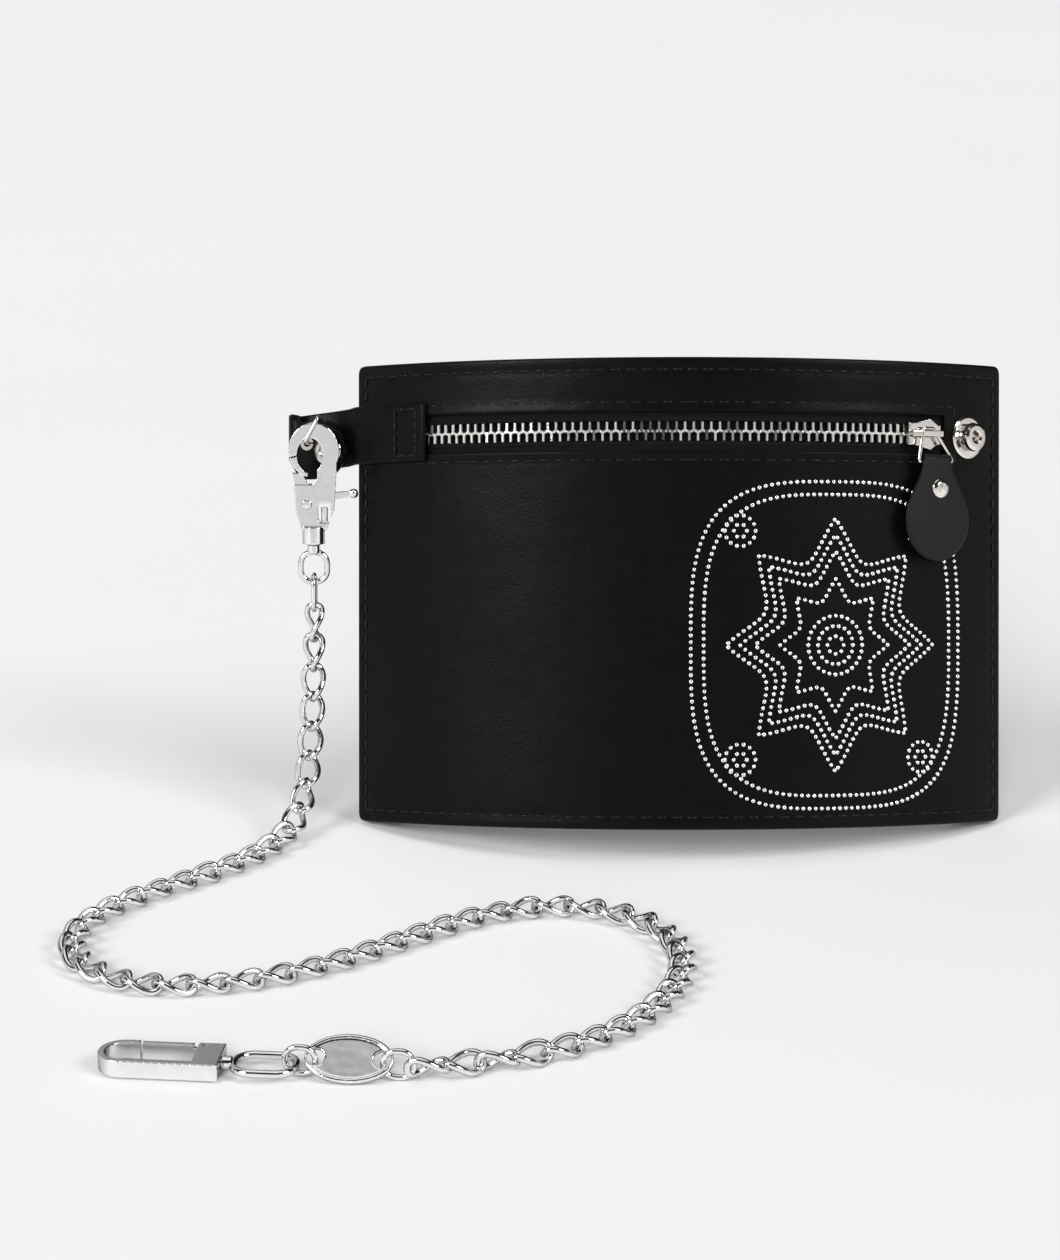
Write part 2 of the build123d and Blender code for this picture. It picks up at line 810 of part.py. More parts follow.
# ---------------------------------------------------------------- chain, as a tube of its width along its own course
chain_start = hook_plane.origin + hook_plane.x_dir * swivel_x + hook_plane.y_dir * (link_middle - link_long / 2 - 0.7)
ground = chain_radius + 0.05
chain_course = [
    (chain_start.X, chain_start.Y, chain_start.Z),
    (chain_start.X - 0.3, chain_start.Y - 3.6, 41.0),
    (chain_start.X - 0.8, chain_start.Y - 9.5, 25.0),
    (-94.6, -5.6, 11.5),
    (-98.0, -18.5, 4.6),
    (-105.5, -34.0, ground),
    (-117.0, -47.5, ground),
    (-131.0, -60.5, ground),
    (-142.5, -74.0, ground),
    (-149.0, -89.5, ground),
    (-147.5, -105.5, ground),
    (-138.0, -118.5, ground),
    (-123.5, -124.5, ground),
    (-107.5, -123.0, ground),
    (-92.0, -117.0, ground),
    (-76.0, -106.0, ground),
    (-60.5, -91.5, ground),
    (-46.0, -79.0, ground),
    (-29.5, -71.0, ground),
    (-12.5, -73.5, ground),
    (0.0, -84.0, ground),
    (6.0, -99.0, ground),
    (6.5, -116.0, ground),
    (0.5, -134.5, ground),
    (-10.0, -150.0, ground),
    (-24.5, -161.5, ground),
    (-41.0, -168.5, ground),
    (-57.5, -173.3, ground),
]


def course_radii(points):
    """The largest even bend at each corner: 0.45 of the shorter run over the tangent of half the turn."""
    radii = []
    for before, here, after in zip(points, points[1:], points[2:]):
        first = Vector(*here) - Vector(*before)
        second = Vector(*after) - Vector(*here)
        turn = radians(first.get_angle(second))
        radii.append(0.45 * min(first.length, second.length) / tan(turn / 2))
    return radii


radii = course_radii(chain_course)
print("chain bends:", ", ".join(f"{value:.1f}" for value in radii), "mm")

with BuildPart() as chain:
    with BuildLine() as chain_line:
        course = FilletPolyline(*chain_course, radius=radii)
    with BuildSketch(Plane(origin=course @ 0, z_dir=course % 0)):
        Circle(chain_radius)
    sweep()
write(chain, "chain")
tube_volume = 3.14159265 * chain_radius**2 * course.length
print(f"chain: {course.length:.1f} mm long, volume {chain.part.volume:.0f} of {tube_volume:.0f} mm3")

# ---------------------------------------------------------------- tag and belt clip at the far end, lying on the ground
tail_end = Vector(*chain_course[-1])
tail = Plane(origin=(tail_end.X, tail_end.Y, 0), x_dir=(-1, 0.1, 0), z_dir=(0, 0, 1))


def tail_point(along, across, up):
    """A point measured along the tail from the chain's end, towards the front and up."""
    return tail.origin + tail.x_dir * along + tail.y_dir * across + tail.z_dir * up


def upright_link(middle, long, wide, wire_radius):
    """An oval link standing on edge in the tail's line."""
    standing = Plane(origin=tail_point(middle, 0, wide / 2 + 0.05), x_dir=tail.x_dir, z_dir=tail.y_dir)
    half_l = long / 2 - wire_radius
    half_w = wide / 2 - wire_radius
    corners = [(-half_l, -half_w), (half_l, -half_w), (half_l, half_w), (-half_l, half_w)]
    return wire_loop(standing, corners, half_w - 0.2, wire_radius)


with BuildPart() as tag_link:
    add(upright_link(4.92, 8.6, 8.0, 0.72))
write(tag_link, "tag_link")

tag_long = 21.0
tag_wide = 12.0
tag_thick = 1.2
tag_tilt = 45.0
tag_middle = 16.4
tag_up = tail.y_dir * -cos(radians(tag_tilt)) + tail.z_dir * sin(radians(tag_tilt))
tag_normal = tail.y_dir * sin(radians(tag_tilt)) + tail.z_dir * cos(radians(tag_tilt))
tag_rise = tag_wide / 2 * sin(radians(tag_tilt)) + tag_thick / 2
tag_plane = Plane(origin=tail_point(tag_middle, 0, tag_rise), x_dir=tail.x_dir, z_dir=tag_normal)
tag_hole = 7.8

with BuildPart() as tag:
    with BuildSketch(tag_plane.offset(-tag_thick / 2)):
        Ellipse(tag_long / 2, tag_wide / 2)
        with Locations((-tag_hole, 0), (tag_hole, 0)):
            Circle(2.1, mode=Mode.SUBTRACT)
    extrude(amount=tag_thick)
    # a raised rim round a plain blank face
    with BuildSketch(tag_plane.offset(tag_thick / 2)):
        Ellipse(tag_long / 2 - 0.3, tag_wide / 2 - 0.3)
        Ellipse(tag_long / 2 - 1.0, tag_wide / 2 - 1.0, mode=Mode.SUBTRACT)
        with Locations((-tag_hole, 0), (tag_hole, 0)):
            Circle(2.35, mode=Mode.SUBTRACT)
    extrude(amount=0.25)
write(tag, "tag")

with BuildPart() as end_link:
    add(upright_link(27.88, 8.6, 8.0, 0.72))
write(end_link, "end_link")

clip_level = 2.6  # height of the clip's middle above the ground
clip_eye_plane = Plane(origin=tail_point(36.2, 0, clip_level), x_dir=tail.x_dir, z_dir=(0, 0, 1))
clip_axis = Plane(origin=tail_point(0, 0, clip_level), x_dir=tail.y_dir, z_dir=tail.x_dir)

with BuildPart() as clip_swivel:
    add(
        wire_loop(
            clip_eye_plane,
            [(-7.35, -5.2), (7.35, -5.2), (7.35, 5.2), (-7.35, 5.2)],
            4.6,
            0.95,
        )
    )
    with BuildSketch(clip_axis.offset(44.0)):
        Circle(1.7)
    extrude(amount=2.0)
    with BuildSketch(clip_axis.offset(45.9)):
        Circle(1.15)
    extrude(amount=3.6)
write(clip_swivel, "clip_swivel")

clip_start = 46.3  # the clip's body, along the tail
clip_nose = 75.5
clip_wide = 12.4
clip_bar = 1.7
clip_tall = 4.2
clip_plane = Plane(origin=tail_point(0, 0, clip_level), x_dir=tail.x_dir, z_dir=(0, 0, 1))
gate_end = 66.5


def clip_outline(inset):
    """The clip's rounded outline, square at the body and round at the nose."""
    with BuildSketch() as outline:
        long = clip_nose - clip_start - 2 * inset
        with Locations(((clip_nose + clip_start) / 2, 0)):
            Rectangle(long, clip_wide - 2 * inset)
        fillet(outline.vertices().group_by(Axis.X)[-1], (clip_wide - 2 * inset) / 2 - 0.1)
    return outline.sketch


with BuildPart() as clip_frame:
    with BuildSketch(clip_plane.offset(-clip_tall / 2)):
        add(clip_outline(0))
        add(clip_outline(clip_bar), mode=Mode.SUBTRACT)
        # the gate's side is open from the body to the nose
        with Locations(((clip_start + gate_end) / 2, -clip_wide / 2)):
            Rectangle(gate_end - clip_start, 2 * clip_bar + 1.6, mode=Mode.SUBTRACT)
        # the solid body block
        with Locations((clip_start + 3.2, 0)):
            Rectangle(6.4, clip_wide)
    extrude(amount=clip_tall)
    # the gate's slot and pin hole in the block
    with BuildSketch(clip_plane.offset(-1.3)):
        with Locations((clip_start + 4.6, -clip_wide / 2 + 1.3)):
            Rectangle(4.6, 4.0)
    extrude(amount=2.6, mode=Mode.SUBTRACT)
    with BuildSketch(clip_plane.offset(-clip_tall)):
        with Locations((clip_start + 4.4, -clip_wide / 2 + 1.6)):
            Circle(0.7)
    extrude(amount=2 * clip_tall, mode=Mode.SUBTRACT)
    with BuildSketch(clip_axis.offset(clip_start - 1)):
        Circle(1.2)
    extrude(amount=4.4, mode=Mode.SUBTRACT)
write(clip_frame, "clip_frame")

pin_x = clip_start + 4.4
pin_y = -clip_wide / 2 + 1.6
with BuildPart() as clip_pin:
    with BuildSketch(clip_plane.offset(-clip_tall / 2)):
        with Locations((pin_x, pin_y)):
            Circle(0.7)
    extrude(amount=clip_tall)
write(clip_pin, "clip_pin")

with BuildPart() as clip_gate:
    with BuildSketch(clip_plane.offset(-1.15)):
        with Locations((pin_x, pin_y)):
            Circle(1.3)
        with Locations(((pin_x + gate_end - 0.4) / 2, pin_y - 0.55)):
            Rectangle(gate_end - 0.4 - pin_x, 1.5)
        with Locations((pin_x, pin_y)):
            Circle(0.75, mode=Mode.SUBTRACT)
    extrude(amount=2.3)
    # the gate widens to the frame's height beyond the body
    with BuildSketch(clip_plane.offset(-clip_tall / 2)):
        with Locations(((clip_start + 7.4 + gate_end - 0.4) / 2, pin_y - 0.55)):
            Rectangle(gate_end - 0.4 - clip_start - 7.4, 1.5)
    extrude(amount=clip_tall)
write(clip_gate, "clip_gate")
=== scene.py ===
# %% [markdown]
# # A chain wallet
# This lesson dresses a bi-fold leather wallet that stands open, with a zip across its face, a snap strap,
# a trigger hook and a curb chain that lies on the ground. The exact model of every solid part is loaded
# first and never moved. Each step then adds what the eye needs: bent leather, thread, woven tape, teeth,
# nailheads and polished metal. All lengths are in metres.

import json
import math

import bmesh
import bpy
import numpy as np
from mathutils import Matrix, Vector, noise

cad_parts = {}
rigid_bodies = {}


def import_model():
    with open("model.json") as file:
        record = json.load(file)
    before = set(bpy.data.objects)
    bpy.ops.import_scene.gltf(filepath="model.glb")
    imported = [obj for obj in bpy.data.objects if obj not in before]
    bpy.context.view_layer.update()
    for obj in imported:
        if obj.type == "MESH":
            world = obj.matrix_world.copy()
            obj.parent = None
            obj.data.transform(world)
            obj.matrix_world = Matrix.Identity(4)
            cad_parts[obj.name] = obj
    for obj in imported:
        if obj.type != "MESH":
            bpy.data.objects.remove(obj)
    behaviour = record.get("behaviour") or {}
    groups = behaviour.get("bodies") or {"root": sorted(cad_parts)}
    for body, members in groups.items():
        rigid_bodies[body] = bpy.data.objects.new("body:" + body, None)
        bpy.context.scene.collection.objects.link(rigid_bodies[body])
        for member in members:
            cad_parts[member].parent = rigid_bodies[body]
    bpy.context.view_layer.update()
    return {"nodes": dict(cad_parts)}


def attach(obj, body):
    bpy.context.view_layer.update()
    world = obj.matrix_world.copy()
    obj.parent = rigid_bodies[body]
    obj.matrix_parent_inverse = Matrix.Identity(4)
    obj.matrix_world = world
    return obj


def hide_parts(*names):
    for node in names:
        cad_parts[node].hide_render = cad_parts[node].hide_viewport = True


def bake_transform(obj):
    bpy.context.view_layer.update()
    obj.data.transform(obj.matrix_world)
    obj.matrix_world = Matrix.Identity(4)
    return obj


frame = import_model()
scene = bpy.context.scene
scene.view_settings.view_transform = "Standard"
mm = 0.001

# %% [markdown]
# The camera comes first, because everything else is judged through it. A long lens from a little above
# keeps the wallet's edges nearly parallel.

# %% Camera
lens = bpy.data.cameras.new("camera")
lens.lens = 91.4
lens.sensor_width = 36.0
lens.clip_start = 0.02
lens.clip_end = 30.0
camera = bpy.data.objects.new("camera", lens)
camera.location = (-0.0320, -0.8498, 0.3159)
camera.rotation_euler = (math.radians(73.0), 0.0, 0.0)
scene.collection.objects.link(camera)
scene.camera = camera
print("camera", tuple(round(c, 3) for c in camera.location))

# %% [markdown]
# Small helpers keep the later cells short: one puts a mesh in the scene, one turns a modified object
# into a plain mesh, and one draws a smooth line through given points.


# %% Mesh helpers
def put(mesh, name):
    piece = bpy.data.objects.new(name, mesh)
    scene.collection.objects.link(piece)
    return piece


def mesh_from(name, points, faces, edges=()):
    mesh = bpy.data.meshes.new(name)
    mesh.from_pydata([tuple(p) for p in points], list(edges), list(faces))
    mesh.update()
    return mesh


def ring_faces(count, rings):
    """Faces that join rings of count points each, with a cap at either end."""
    faces = []
    for s in range(rings - 1):
        for k in range(count):
            a, b = s * count + k, s * count + (k + 1) % count
            faces.append((a, b, b + count, a + count))
    return faces + [tuple(range(count)), tuple(range((rings - 1) * count, rings * count))]


def settle(piece):
    """Bakes the modifiers into a plain mesh and drops them."""
    bpy.context.view_layer.update()
    graph = bpy.context.evaluated_depsgraph_get()
    done = bpy.data.meshes.new_from_object(piece.evaluated_get(graph))
    done.name = piece.name
    piece.modifiers.clear()
    piece.data = done
    return piece


def smooth_line(name, points):
    """A smooth line near the given points, as a list of points along it."""
    curve = bpy.data.curves.new(name, "CURVE")
    curve.dimensions = "3D"
    curve.resolution_u = 16
    spline = curve.splines.new("NURBS")
    spline.points.add(len(points) - 1)
    for point, place in zip(spline.points, points):
        point.co = (*place, 1.0)
    spline.order_u = 3
    spline.use_endpoint_u = True
    guide = put(curve, name)
    bpy.context.view_layer.update()
    graph = bpy.context.evaluated_depsgraph_get()
    line = bpy.data.meshes.new_from_object(guide.evaluated_get(graph))
    found = [v.co.copy() for v in line.vertices]
    bpy.data.objects.remove(guide)
    return found


# %% [markdown]
# ## How the wallet stands
# The open wallet is one sheet bent on an arc, leaning back. Any point on it is named by three numbers: how
# far along the arc, how high up the face, and how far out of the outer face. Every later piece is placed
# with these, so leather, thread and studs can never drift apart.

# %% Places on the wallet
bend_radius = 130.0 * mm
lean = math.radians(16.5)
home = Vector((9.94, -38.04, 11.1)) * mm
side = Vector((1, 0, 0))
back = Vector((0, math.cos(lean), -math.sin(lean)))
up = Vector((0, math.sin(lean), math.cos(lean)))
half_open = 100.0 * mm
tall = 128.0 * mm


def outward(along):
    turn = along / bend_radius
    return side * math.sin(turn) - back * math.cos(turn)


def onward(along):
    turn = along / bend_radius
    return side * math.cos(turn) + back * math.sin(turn)


def on_wallet(along, high, out=0.0):
    centre = home + back * bend_radius + up * high
    return centre + outward(along) * (bend_radius + out)


fold_left_band = (on_wallet(-14 * mm, tall / 2), on_wallet(-4 * mm, tall / 2))
fold_right_band = (on_wallet(4 * mm, tall / 2), on_wallet(14 * mm, tall / 2))
folds = {
    "left": (("wallet_left", "spine"), fold_left_band),
    "right": (("spine", "wallet_right"), fold_right_band),
}
print("top middle of the face:", tuple(round(c, 4) for c in on_wallet(0, tall)))

# %% [markdown]
# ## Finishes
# Polished black leather is a dark body under a thin clear finish. Its pores are far too small to model, so
# they are bump: fine cells for grain, a slow wave for the softness of the hide. The grain is read from a
# stored attribute, the flat pattern's own coordinates, so it stays with the leather when the wallet folds.


# %% Node helpers
def fill(tree, node, inputs):
    """Gives each named or numbered input a link or a plain value."""
    for label, value in inputs.items():
        if isinstance(value, bpy.types.NodeSocket):
            tree.links.new(value, node.inputs[label])
        else:
            node.inputs[label].default_value = value


def add_node(tree, kind, inputs=None, **settings):
    node = tree.nodes.new(kind)
    for name, value in settings.items():
        setattr(node, name, value)
    fill(tree, node, inputs or {})
    return node


def add_maths(tree, kind, *values):
    return add_node(tree, "ShaderNodeMath", dict(enumerate(values)), operation=kind).outputs[0]


def blank_material(name):
    material = bpy.data.materials.new(name)
    material.use_nodes = True
    return material, material.node_tree, material.node_tree.nodes["Principled BSDF"]


def pattern_place(tree, attribute=None):
    if attribute:
        return add_node(tree, "ShaderNodeAttribute", attribute_name=attribute).outputs["Vector"]
    return add_node(tree, "ShaderNodeTexCoord").outputs["Object"]


def add_noise(tree, place, scale, detail=3.0, roughness=0.55):
    inputs = {"Scale": scale, "Detail": detail, "Roughness": roughness, "Vector": place}
    return add_node(tree, "ShaderNodeTexNoise", inputs).outputs["Fac"]


def add_range(tree, value, low, high, start=0.3, stop=0.7):
    inputs = {"From Min": start, "From Max": stop, "To Min": low, "To Max": high, "Value": value}
    return add_node(tree, "ShaderNodeMapRange", inputs).outputs["Result"]


def add_bump(tree, height, distance, strength=1.0, below=None):
    inputs = {"Distance": distance, "Strength": strength, "Height": height}
    if below is not None:
        inputs["Normal"] = below
    return add_node(tree, "ShaderNodeBump", inputs).outputs["Normal"]


def mix_colours(tree, factor, first, second):
    inputs = {"A": (*first, 1), "B": (*second, 1), "Factor": factor}
    return add_node(tree, "ShaderNodeMix", inputs, data_type="RGBA").outputs["Result"]


# %% Leather
def leather(name, dark, light, rough, grain, shine):
    material, tree, shader = blank_material(name)
    place = pattern_place(tree, "flat")
    wear = add_noise(tree, place, 220, 5)
    cells = add_node(tree, "ShaderNodeTexVoronoi", {"Scale": 1500, "Vector": place})
    soft = add_bump(tree, add_noise(tree, place, 45, 2), 0.0012, 0.35)
    pores = add_bump(tree, cells.outputs["Distance"], 0.00006, grain, soft)
    fill(tree, shader, {
        "Base Color": mix_colours(tree, add_noise(tree, place, 60, 4), dark, light),
        "Roughness": add_range(tree, wear, rough - 0.05, rough + 0.07),
        "Normal": add_bump(tree, wear, 0.00008, grain * 0.8, pores),
        "Specular IOR Level": shine,
    })
    return material


outer_leather = leather("outer_leather", (0.0014, 0.0014, 0.0011), (0.0032, 0.0031, 0.0025), 0.34, 0.6, 0.10)
inner_leather = leather("inner_leather", (0.005, 0.005, 0.0052), (0.010, 0.0098, 0.010), 0.44, 0.55, 0.25)
pull_leather = leather("pull_leather", (0.004, 0.004, 0.0039), (0.0085, 0.0085, 0.0082), 0.46, 0.9, 0.2)
print("leathers made")


# %% [markdown]
# Tape and lining are woven. Two crossed wave textures give the over and under of the threads, and the same
# waves drive both the colour and the bump, so that raised threads are also the lighter ones: painted light on
# the raised threads and painted shade in the hollows between them.


# %% Woven cloth
def woven(name, dark, light, pitch, diagonal=0.0):
    material, tree, shader = blank_material(name)
    place = pattern_place(tree, "flat")
    turned = add_node(tree, "ShaderNodeMapping", {"Rotation": (0, diagonal, 0), "Vector": place})
    inputs = {"Scale": 0.314 / pitch, "Distortion": 0.6, "Vector": turned.outputs["Vector"]}
    both = [add_node(tree, "ShaderNodeTexWave", inputs, bands_direction=direction).outputs["Fac"]
            for direction in ("X", "Z")]
    # the crossed waves give the bump's height and also paint light on raised threads and shade in the hollows
    cross = add_maths(tree, "MULTIPLY", *both)
    fill(tree, shader, {
        "Base Color": mix_colours(tree, cross, dark, light),
        "Normal": add_bump(tree, cross, pitch * 0.25),
        "Roughness": 0.62,
        "Specular IOR Level": 0.15,
    })
    return material


tape_cloth = woven("tape_cloth", (0.0012, 0.0012, 0.0012), (0.009, 0.009, 0.0092), 0.45 * mm,
                   math.radians(45))
lining_cloth = woven("lining_cloth", (0.006, 0.006, 0.007), (0.02, 0.02, 0.022), 0.35 * mm)
print("cloths made")


# %% [markdown]
# Plated metal is almost a mirror. What makes it read as plating is that it isn't perfect: a slow waviness
# from polishing, hair-fine scratches that change the roughness, and a faint warm or cool cast. Its colour
# is also darkened towards the outline, a painted dark reflection, and by a faint random cloud.


# %% Plated metal
def plated(name, colour, rough, waviness=0.5, painted_reflection_depth=0.85):
    material, tree, shader = blank_material(name)
    place = pattern_place(tree)
    edge = add_node(tree, "ShaderNodeLayerWeight", {"Blend": 0.5}).outputs["Facing"]
    cloud = add_range(tree, add_noise(tree, place, 350, 4), 0.0, 0.10)
    # painted dark reflection: the colour darkens towards the outline, where the surface turns from the view,
    # plus a faint random cloud
    painted_reflection_and_cloud = add_maths(tree, "ADD", add_range(tree, edge, 0.0, painted_reflection_depth, 0.28, 0.82), cloud)
    scratch = add_noise(tree, place, 1800, 6, 0.7)
    wave = add_bump(tree, add_noise(tree, place, 260, 1), 0.00005, waviness)
    fill(tree, shader, {
        "Base Color": mix_colours(tree, painted_reflection_and_cloud, colour, tuple(c * 0.10 for c in colour)),
        "Roughness": add_range(tree, scratch, rough * 0.6, rough * 1.6),
        "Normal": add_bump(tree, scratch, 0.000004, 0.4, wave),
        "Metallic": 1.0,
    })
    return material


chrome = plated("chrome", (0.93, 0.93, 0.93), 0.06)
chain_plate = plated("chain_plate", (0.90, 0.90, 0.90), 0.08)
nickel = plated("nickel", (0.92, 0.87, 0.82), 0.10)
tooth_metal = plated("tooth_metal", (0.95, 0.94, 0.91), 0.16, 0.2, 0.3)
stud_metal = plated("stud_metal", (0.96, 0.96, 0.96), 0.14, 0.1, 0.3)

thread, thread_tree, thread_shader = blank_material("thread")
ply = add_noise(thread_tree, pattern_place(thread_tree), 2600, 2)
fill(thread_tree, thread_shader, {
    "Base Color": mix_colours(thread_tree, ply, (0.0015, 0.0015, 0.0015), (0.006, 0.006, 0.006)),
    "Normal": add_bump(thread_tree, ply, 0.00008),
    "Roughness": 0.30,
    "Specular IOR Level": 0.22,
})
print("metals and thread made")

# %% [markdown]
# ## One tree that bends flat patterns
# A leather worker cuts every layer flat. So does this lesson: each layer is drawn flat, x along, y deep and
# z up, and one Geometry Nodes tree bends it on the wallet's arc and leans it back. The flat coordinates
# are stored first, as the attribute that the finishes read.


# %% The bending tree
def new_tree(name, inputs):
    """A Geometry Nodes tree with (label, kind, default) inputs, and its two end nodes."""
    tree = bpy.data.node_groups.new(name, "GeometryNodeTree")
    for label, kind, value in (("Geometry", "Geometry", None), *inputs):
        socket = tree.interface.new_socket(label, in_out="INPUT", socket_type=f"NodeSocket{kind}")
        if value is not None:
            socket.default_value = value
    tree.interface.new_socket("Geometry", in_out="OUTPUT", socket_type="NodeSocketGeometry")
    return tree, tree.nodes.new("NodeGroupInput"), tree.nodes.new("NodeGroupOutput")


def paint_and_end(tree, geometry, start, stop):
    inputs = {"Geometry": geometry, "Material": start.outputs["Finish"]}
    paint = add_node(tree, "GeometryNodeSetMaterial", inputs)
    tree.links.new(paint.outputs["Geometry"], stop.inputs["Geometry"])


def bending_tree():
    tree, start, stop = new_tree("Bend on the arc", (
        ("Radius", "Float", bend_radius), ("Lean", "Float", lean), ("Place", "Vector", home),
        ("Finish", "Material", None)))
    radius = start.outputs["Radius"]
    where = add_node(tree, "GeometryNodeInputPosition").outputs[0]
    inputs = {"Name": "flat", "Geometry": start.outputs["Geometry"], "Value": where}
    keep = add_node(tree, "GeometryNodeStoreNamedAttribute", inputs, data_type="FLOAT_VECTOR")
    parts = add_node(tree, "ShaderNodeSeparateXYZ", {0: where})
    turn = add_maths(tree, "DIVIDE", parts.outputs["X"], radius)
    reach = add_maths(tree, "SUBTRACT", radius, parts.outputs["Y"])
    across = add_maths(tree, "MULTIPLY", reach, add_maths(tree, "SINE", turn))
    inward = add_maths(tree, "MULTIPLY", reach, add_maths(tree, "COSINE", turn))
    deep = add_maths(tree, "SUBTRACT", radius, inward)
    bent = add_node(tree, "ShaderNodeCombineXYZ", {"X": across, "Y": deep, "Z": parts.outputs["Z"]})
    angle = add_maths(tree, "MULTIPLY", start.outputs["Lean"], -1.0)
    inputs = {"Vector": bent.outputs[0], "Angle": angle}
    tip = add_node(tree, "ShaderNodeVectorRotate", inputs, rotation_type="X_AXIS")
    shift = add_node(tree, "ShaderNodeVectorMath", {0: tip.outputs[0], 1: start.outputs["Place"]})
    inputs = {"Geometry": keep.outputs["Geometry"], "Position": shift.outputs[0]}
    move = add_node(tree, "GeometryNodeSetPosition", inputs)
    paint_and_end(tree, move.outputs["Geometry"], start, stop)
    return tree


bend_tree = bending_tree()


def run_tree(piece, tree, **values):
    """Adds the tree, sets its named inputs, and turns the result into a plain mesh."""
    modifier = piece.modifiers.new(tree.name, "NODES")
    modifier.node_group = tree
    for item in tree.interface.items_tree:
        if item.item_type == "SOCKET" and item.in_out == "INPUT" and item.name in values:
            modifier[item.identifier] = values[item.name]
    return settle(piece)


print("bending tree:", len(bend_tree.nodes), "nodes")

# %% [markdown]
# ## Flat layers with real edges
# A layer is a grid with a front and a back surface. Near its border both surfaces curve towards each other,
# which gives the turned leather edge. Grid lines crowd together there and run evenly elsewhere. A keep rule
# leaves out cells, such as the zip's window.


# %% Drawing a flat layer
def spread(start, stop, step, crowd, roll=0.7 * mm, ends=(True, True)):
    """Grid positions from start to stop, crowded beside the borders."""
    marks = set(np.linspace(start, stop, max(2, round((stop - start) / step) + 1)).tolist())
    borders = list(crowd) + ([start] if ends[0] else []) + ([stop] if ends[1] else [])
    for border in borders:
        marks = {m for m in marks if abs(m - border) > roll * 1.3}
        for share in (0.0, 0.12, 0.35, 0.65, 1.0):
            for way in (-1, 1):
                place = border + way * share * roll
                if start - 1e-9 <= place <= stop + 1e-9:
                    marks.add(place)
    kept = []
    for mark in sorted(marks):
        if not kept or mark - kept[-1] > 0.02 * mm:
            kept.append(mark)
    return kept


def rolled(distance, radius):
    """How far a turned edge has curved away at a distance from the border."""
    d = np.clip(distance, 0, radius)
    return radius - np.sqrt(np.maximum(radius**2 - (radius - d) ** 2, 0))


def flat_layer(name, columns, rows, front, behind, keep=None, corners=()):
    """A closed flat layer: front and behind give depths for arrays of places."""
    a, h = np.meshgrid(np.array(columns), np.array(rows), indexing="ij")
    near, far = front(a, h), behind(a, h)
    x, z = a.copy(), h.copy()
    for cx, cz, wx, wz, size in corners:
        dx, dz = (a - cx) * wx, (h - cz) * wz
        inside = (dx > 0) & (dz > 0)
        longest = np.maximum(dx, dz)
        length = np.maximum(np.hypot(dx, dz), 1e-12)
        x = np.where(inside, cx + wx * dx / length * longest, x)
        z = np.where(inside, cz + wz * dz / length * longest, z)
    n, m = a.shape
    points = np.concatenate(
        [np.stack([x, near, z], -1).reshape(-1, 3), np.stack([x, far, z], -1).reshape(-1, 3)]
    )
    cell = np.ones((n - 1, m - 1), bool)
    if keep is not None:
        cell = keep((a[:-1, :-1] + a[1:, 1:]) / 2, (h[:-1, :-1] + h[1:, 1:]) / 2)
    index = np.arange(n * m).reshape(n, m)
    i, j = np.nonzero(cell)
    quads = np.stack([index[i, j], index[i + 1, j], index[i + 1, j + 1], index[i, j + 1]], -1)
    faces = quads.tolist() + (quads[:, ::-1] + n * m).tolist()
    padded = np.zeros((n + 1, m + 1), bool)
    padded[1:-1, 1:-1] = cell
    for (di, dj), (p, q) in {
        (0, -1): ((0, 0), (1, 0)),
        (1, 0): ((1, 0), (1, 1)),
        (0, 1): ((1, 1), (0, 1)),
        (-1, 0): ((0, 1), (0, 0)),
    }.items():
        open_side = ~padded[i + 1 + di, j + 1 + dj]
        s, t = i[open_side], j[open_side]
        one, two = index[s + p[0], t + p[1]], index[s + q[0], t + q[1]]
        faces += np.stack([two, one, one + n * m, two + n * m], -1).tolist()
    layer = put(mesh_from(name, points, faces), name)
    tidy(layer)
    return layer


def tidy(piece, smooth=True):
    """Drops unused points, merges doubles and turns faces outwards."""
    work = bmesh.new()
    work.from_mesh(piece.data)
    bmesh.ops.delete(work, geom=[v for v in work.verts if not v.link_faces], context="VERTS")
    bmesh.ops.remove_doubles(work, verts=work.verts, dist=1e-6)
    bmesh.ops.recalc_face_normals(work, faces=work.faces)
    work.to_mesh(piece.data)
    work.free()
    piece.data.polygons.foreach_set("use_smooth", [smooth] * len(piece.data.polygons))
    piece.data.update()


def bend(piece, finish):
    """Bends a flat layer, and marks the middle edge sharp, where two halves meet."""
    run_tree(piece, bend_tree, Finish=finish)
    mesh = piece.data
    mesh.polygons.foreach_set("use_smooth", [True] * len(mesh.polygons))
    flat = np.empty(len(mesh.vertices) * 3, np.float32)
    mesh.attributes["flat"].data.foreach_get("vector", flat)
    on_middle = np.abs(flat.reshape(-1, 3)[:, 0]) < 1e-6
    for edge in mesh.edges:
        if on_middle[edge.vertices[0]] and on_middle[edge.vertices[1]]:
            edge.use_edge_sharp = True
    return piece


def waves(a, h, size, amount, seed):
    """A slow unevenness, the same on every run."""
    out = np.empty(a.size)
    for k, (p, q) in enumerate(zip(a.ravel(), h.ravel())):
        out[k] = noise.noise(Vector((p / size, q / size, seed)))
    return out.reshape(a.shape) * amount


print("layer helpers ready")

# %% [markdown]
# ## The outer cover
# One hide covers the whole outside, so its two halves meet invisibly in the middle of the folding strip and
# each spans its own fold. The face has a turned border, a shallow valley under every seam, raised
# lips round the zip's window, and two soft creases where it folds.

# %% Outer cover
seam_in = 3.4 * mm
window = (-76.0 * mm, 77.5 * mm, 102.7 * mm, 113.3 * mm)
cover_thick = 1.4 * mm
lip_seam = 2.5 * mm
snap_place = (86.0 * mm, 107.6 * mm)


def valley(distance, depth, width):
    return depth * np.exp(-((distance / width) ** 2))


def window_distance(a, h):
    """Distance outside the window, negative inside."""
    dx = np.maximum(window[0] - a, a - window[1])
    dz = np.maximum(window[2] - h, h - window[3])
    return np.maximum(dx, dz)


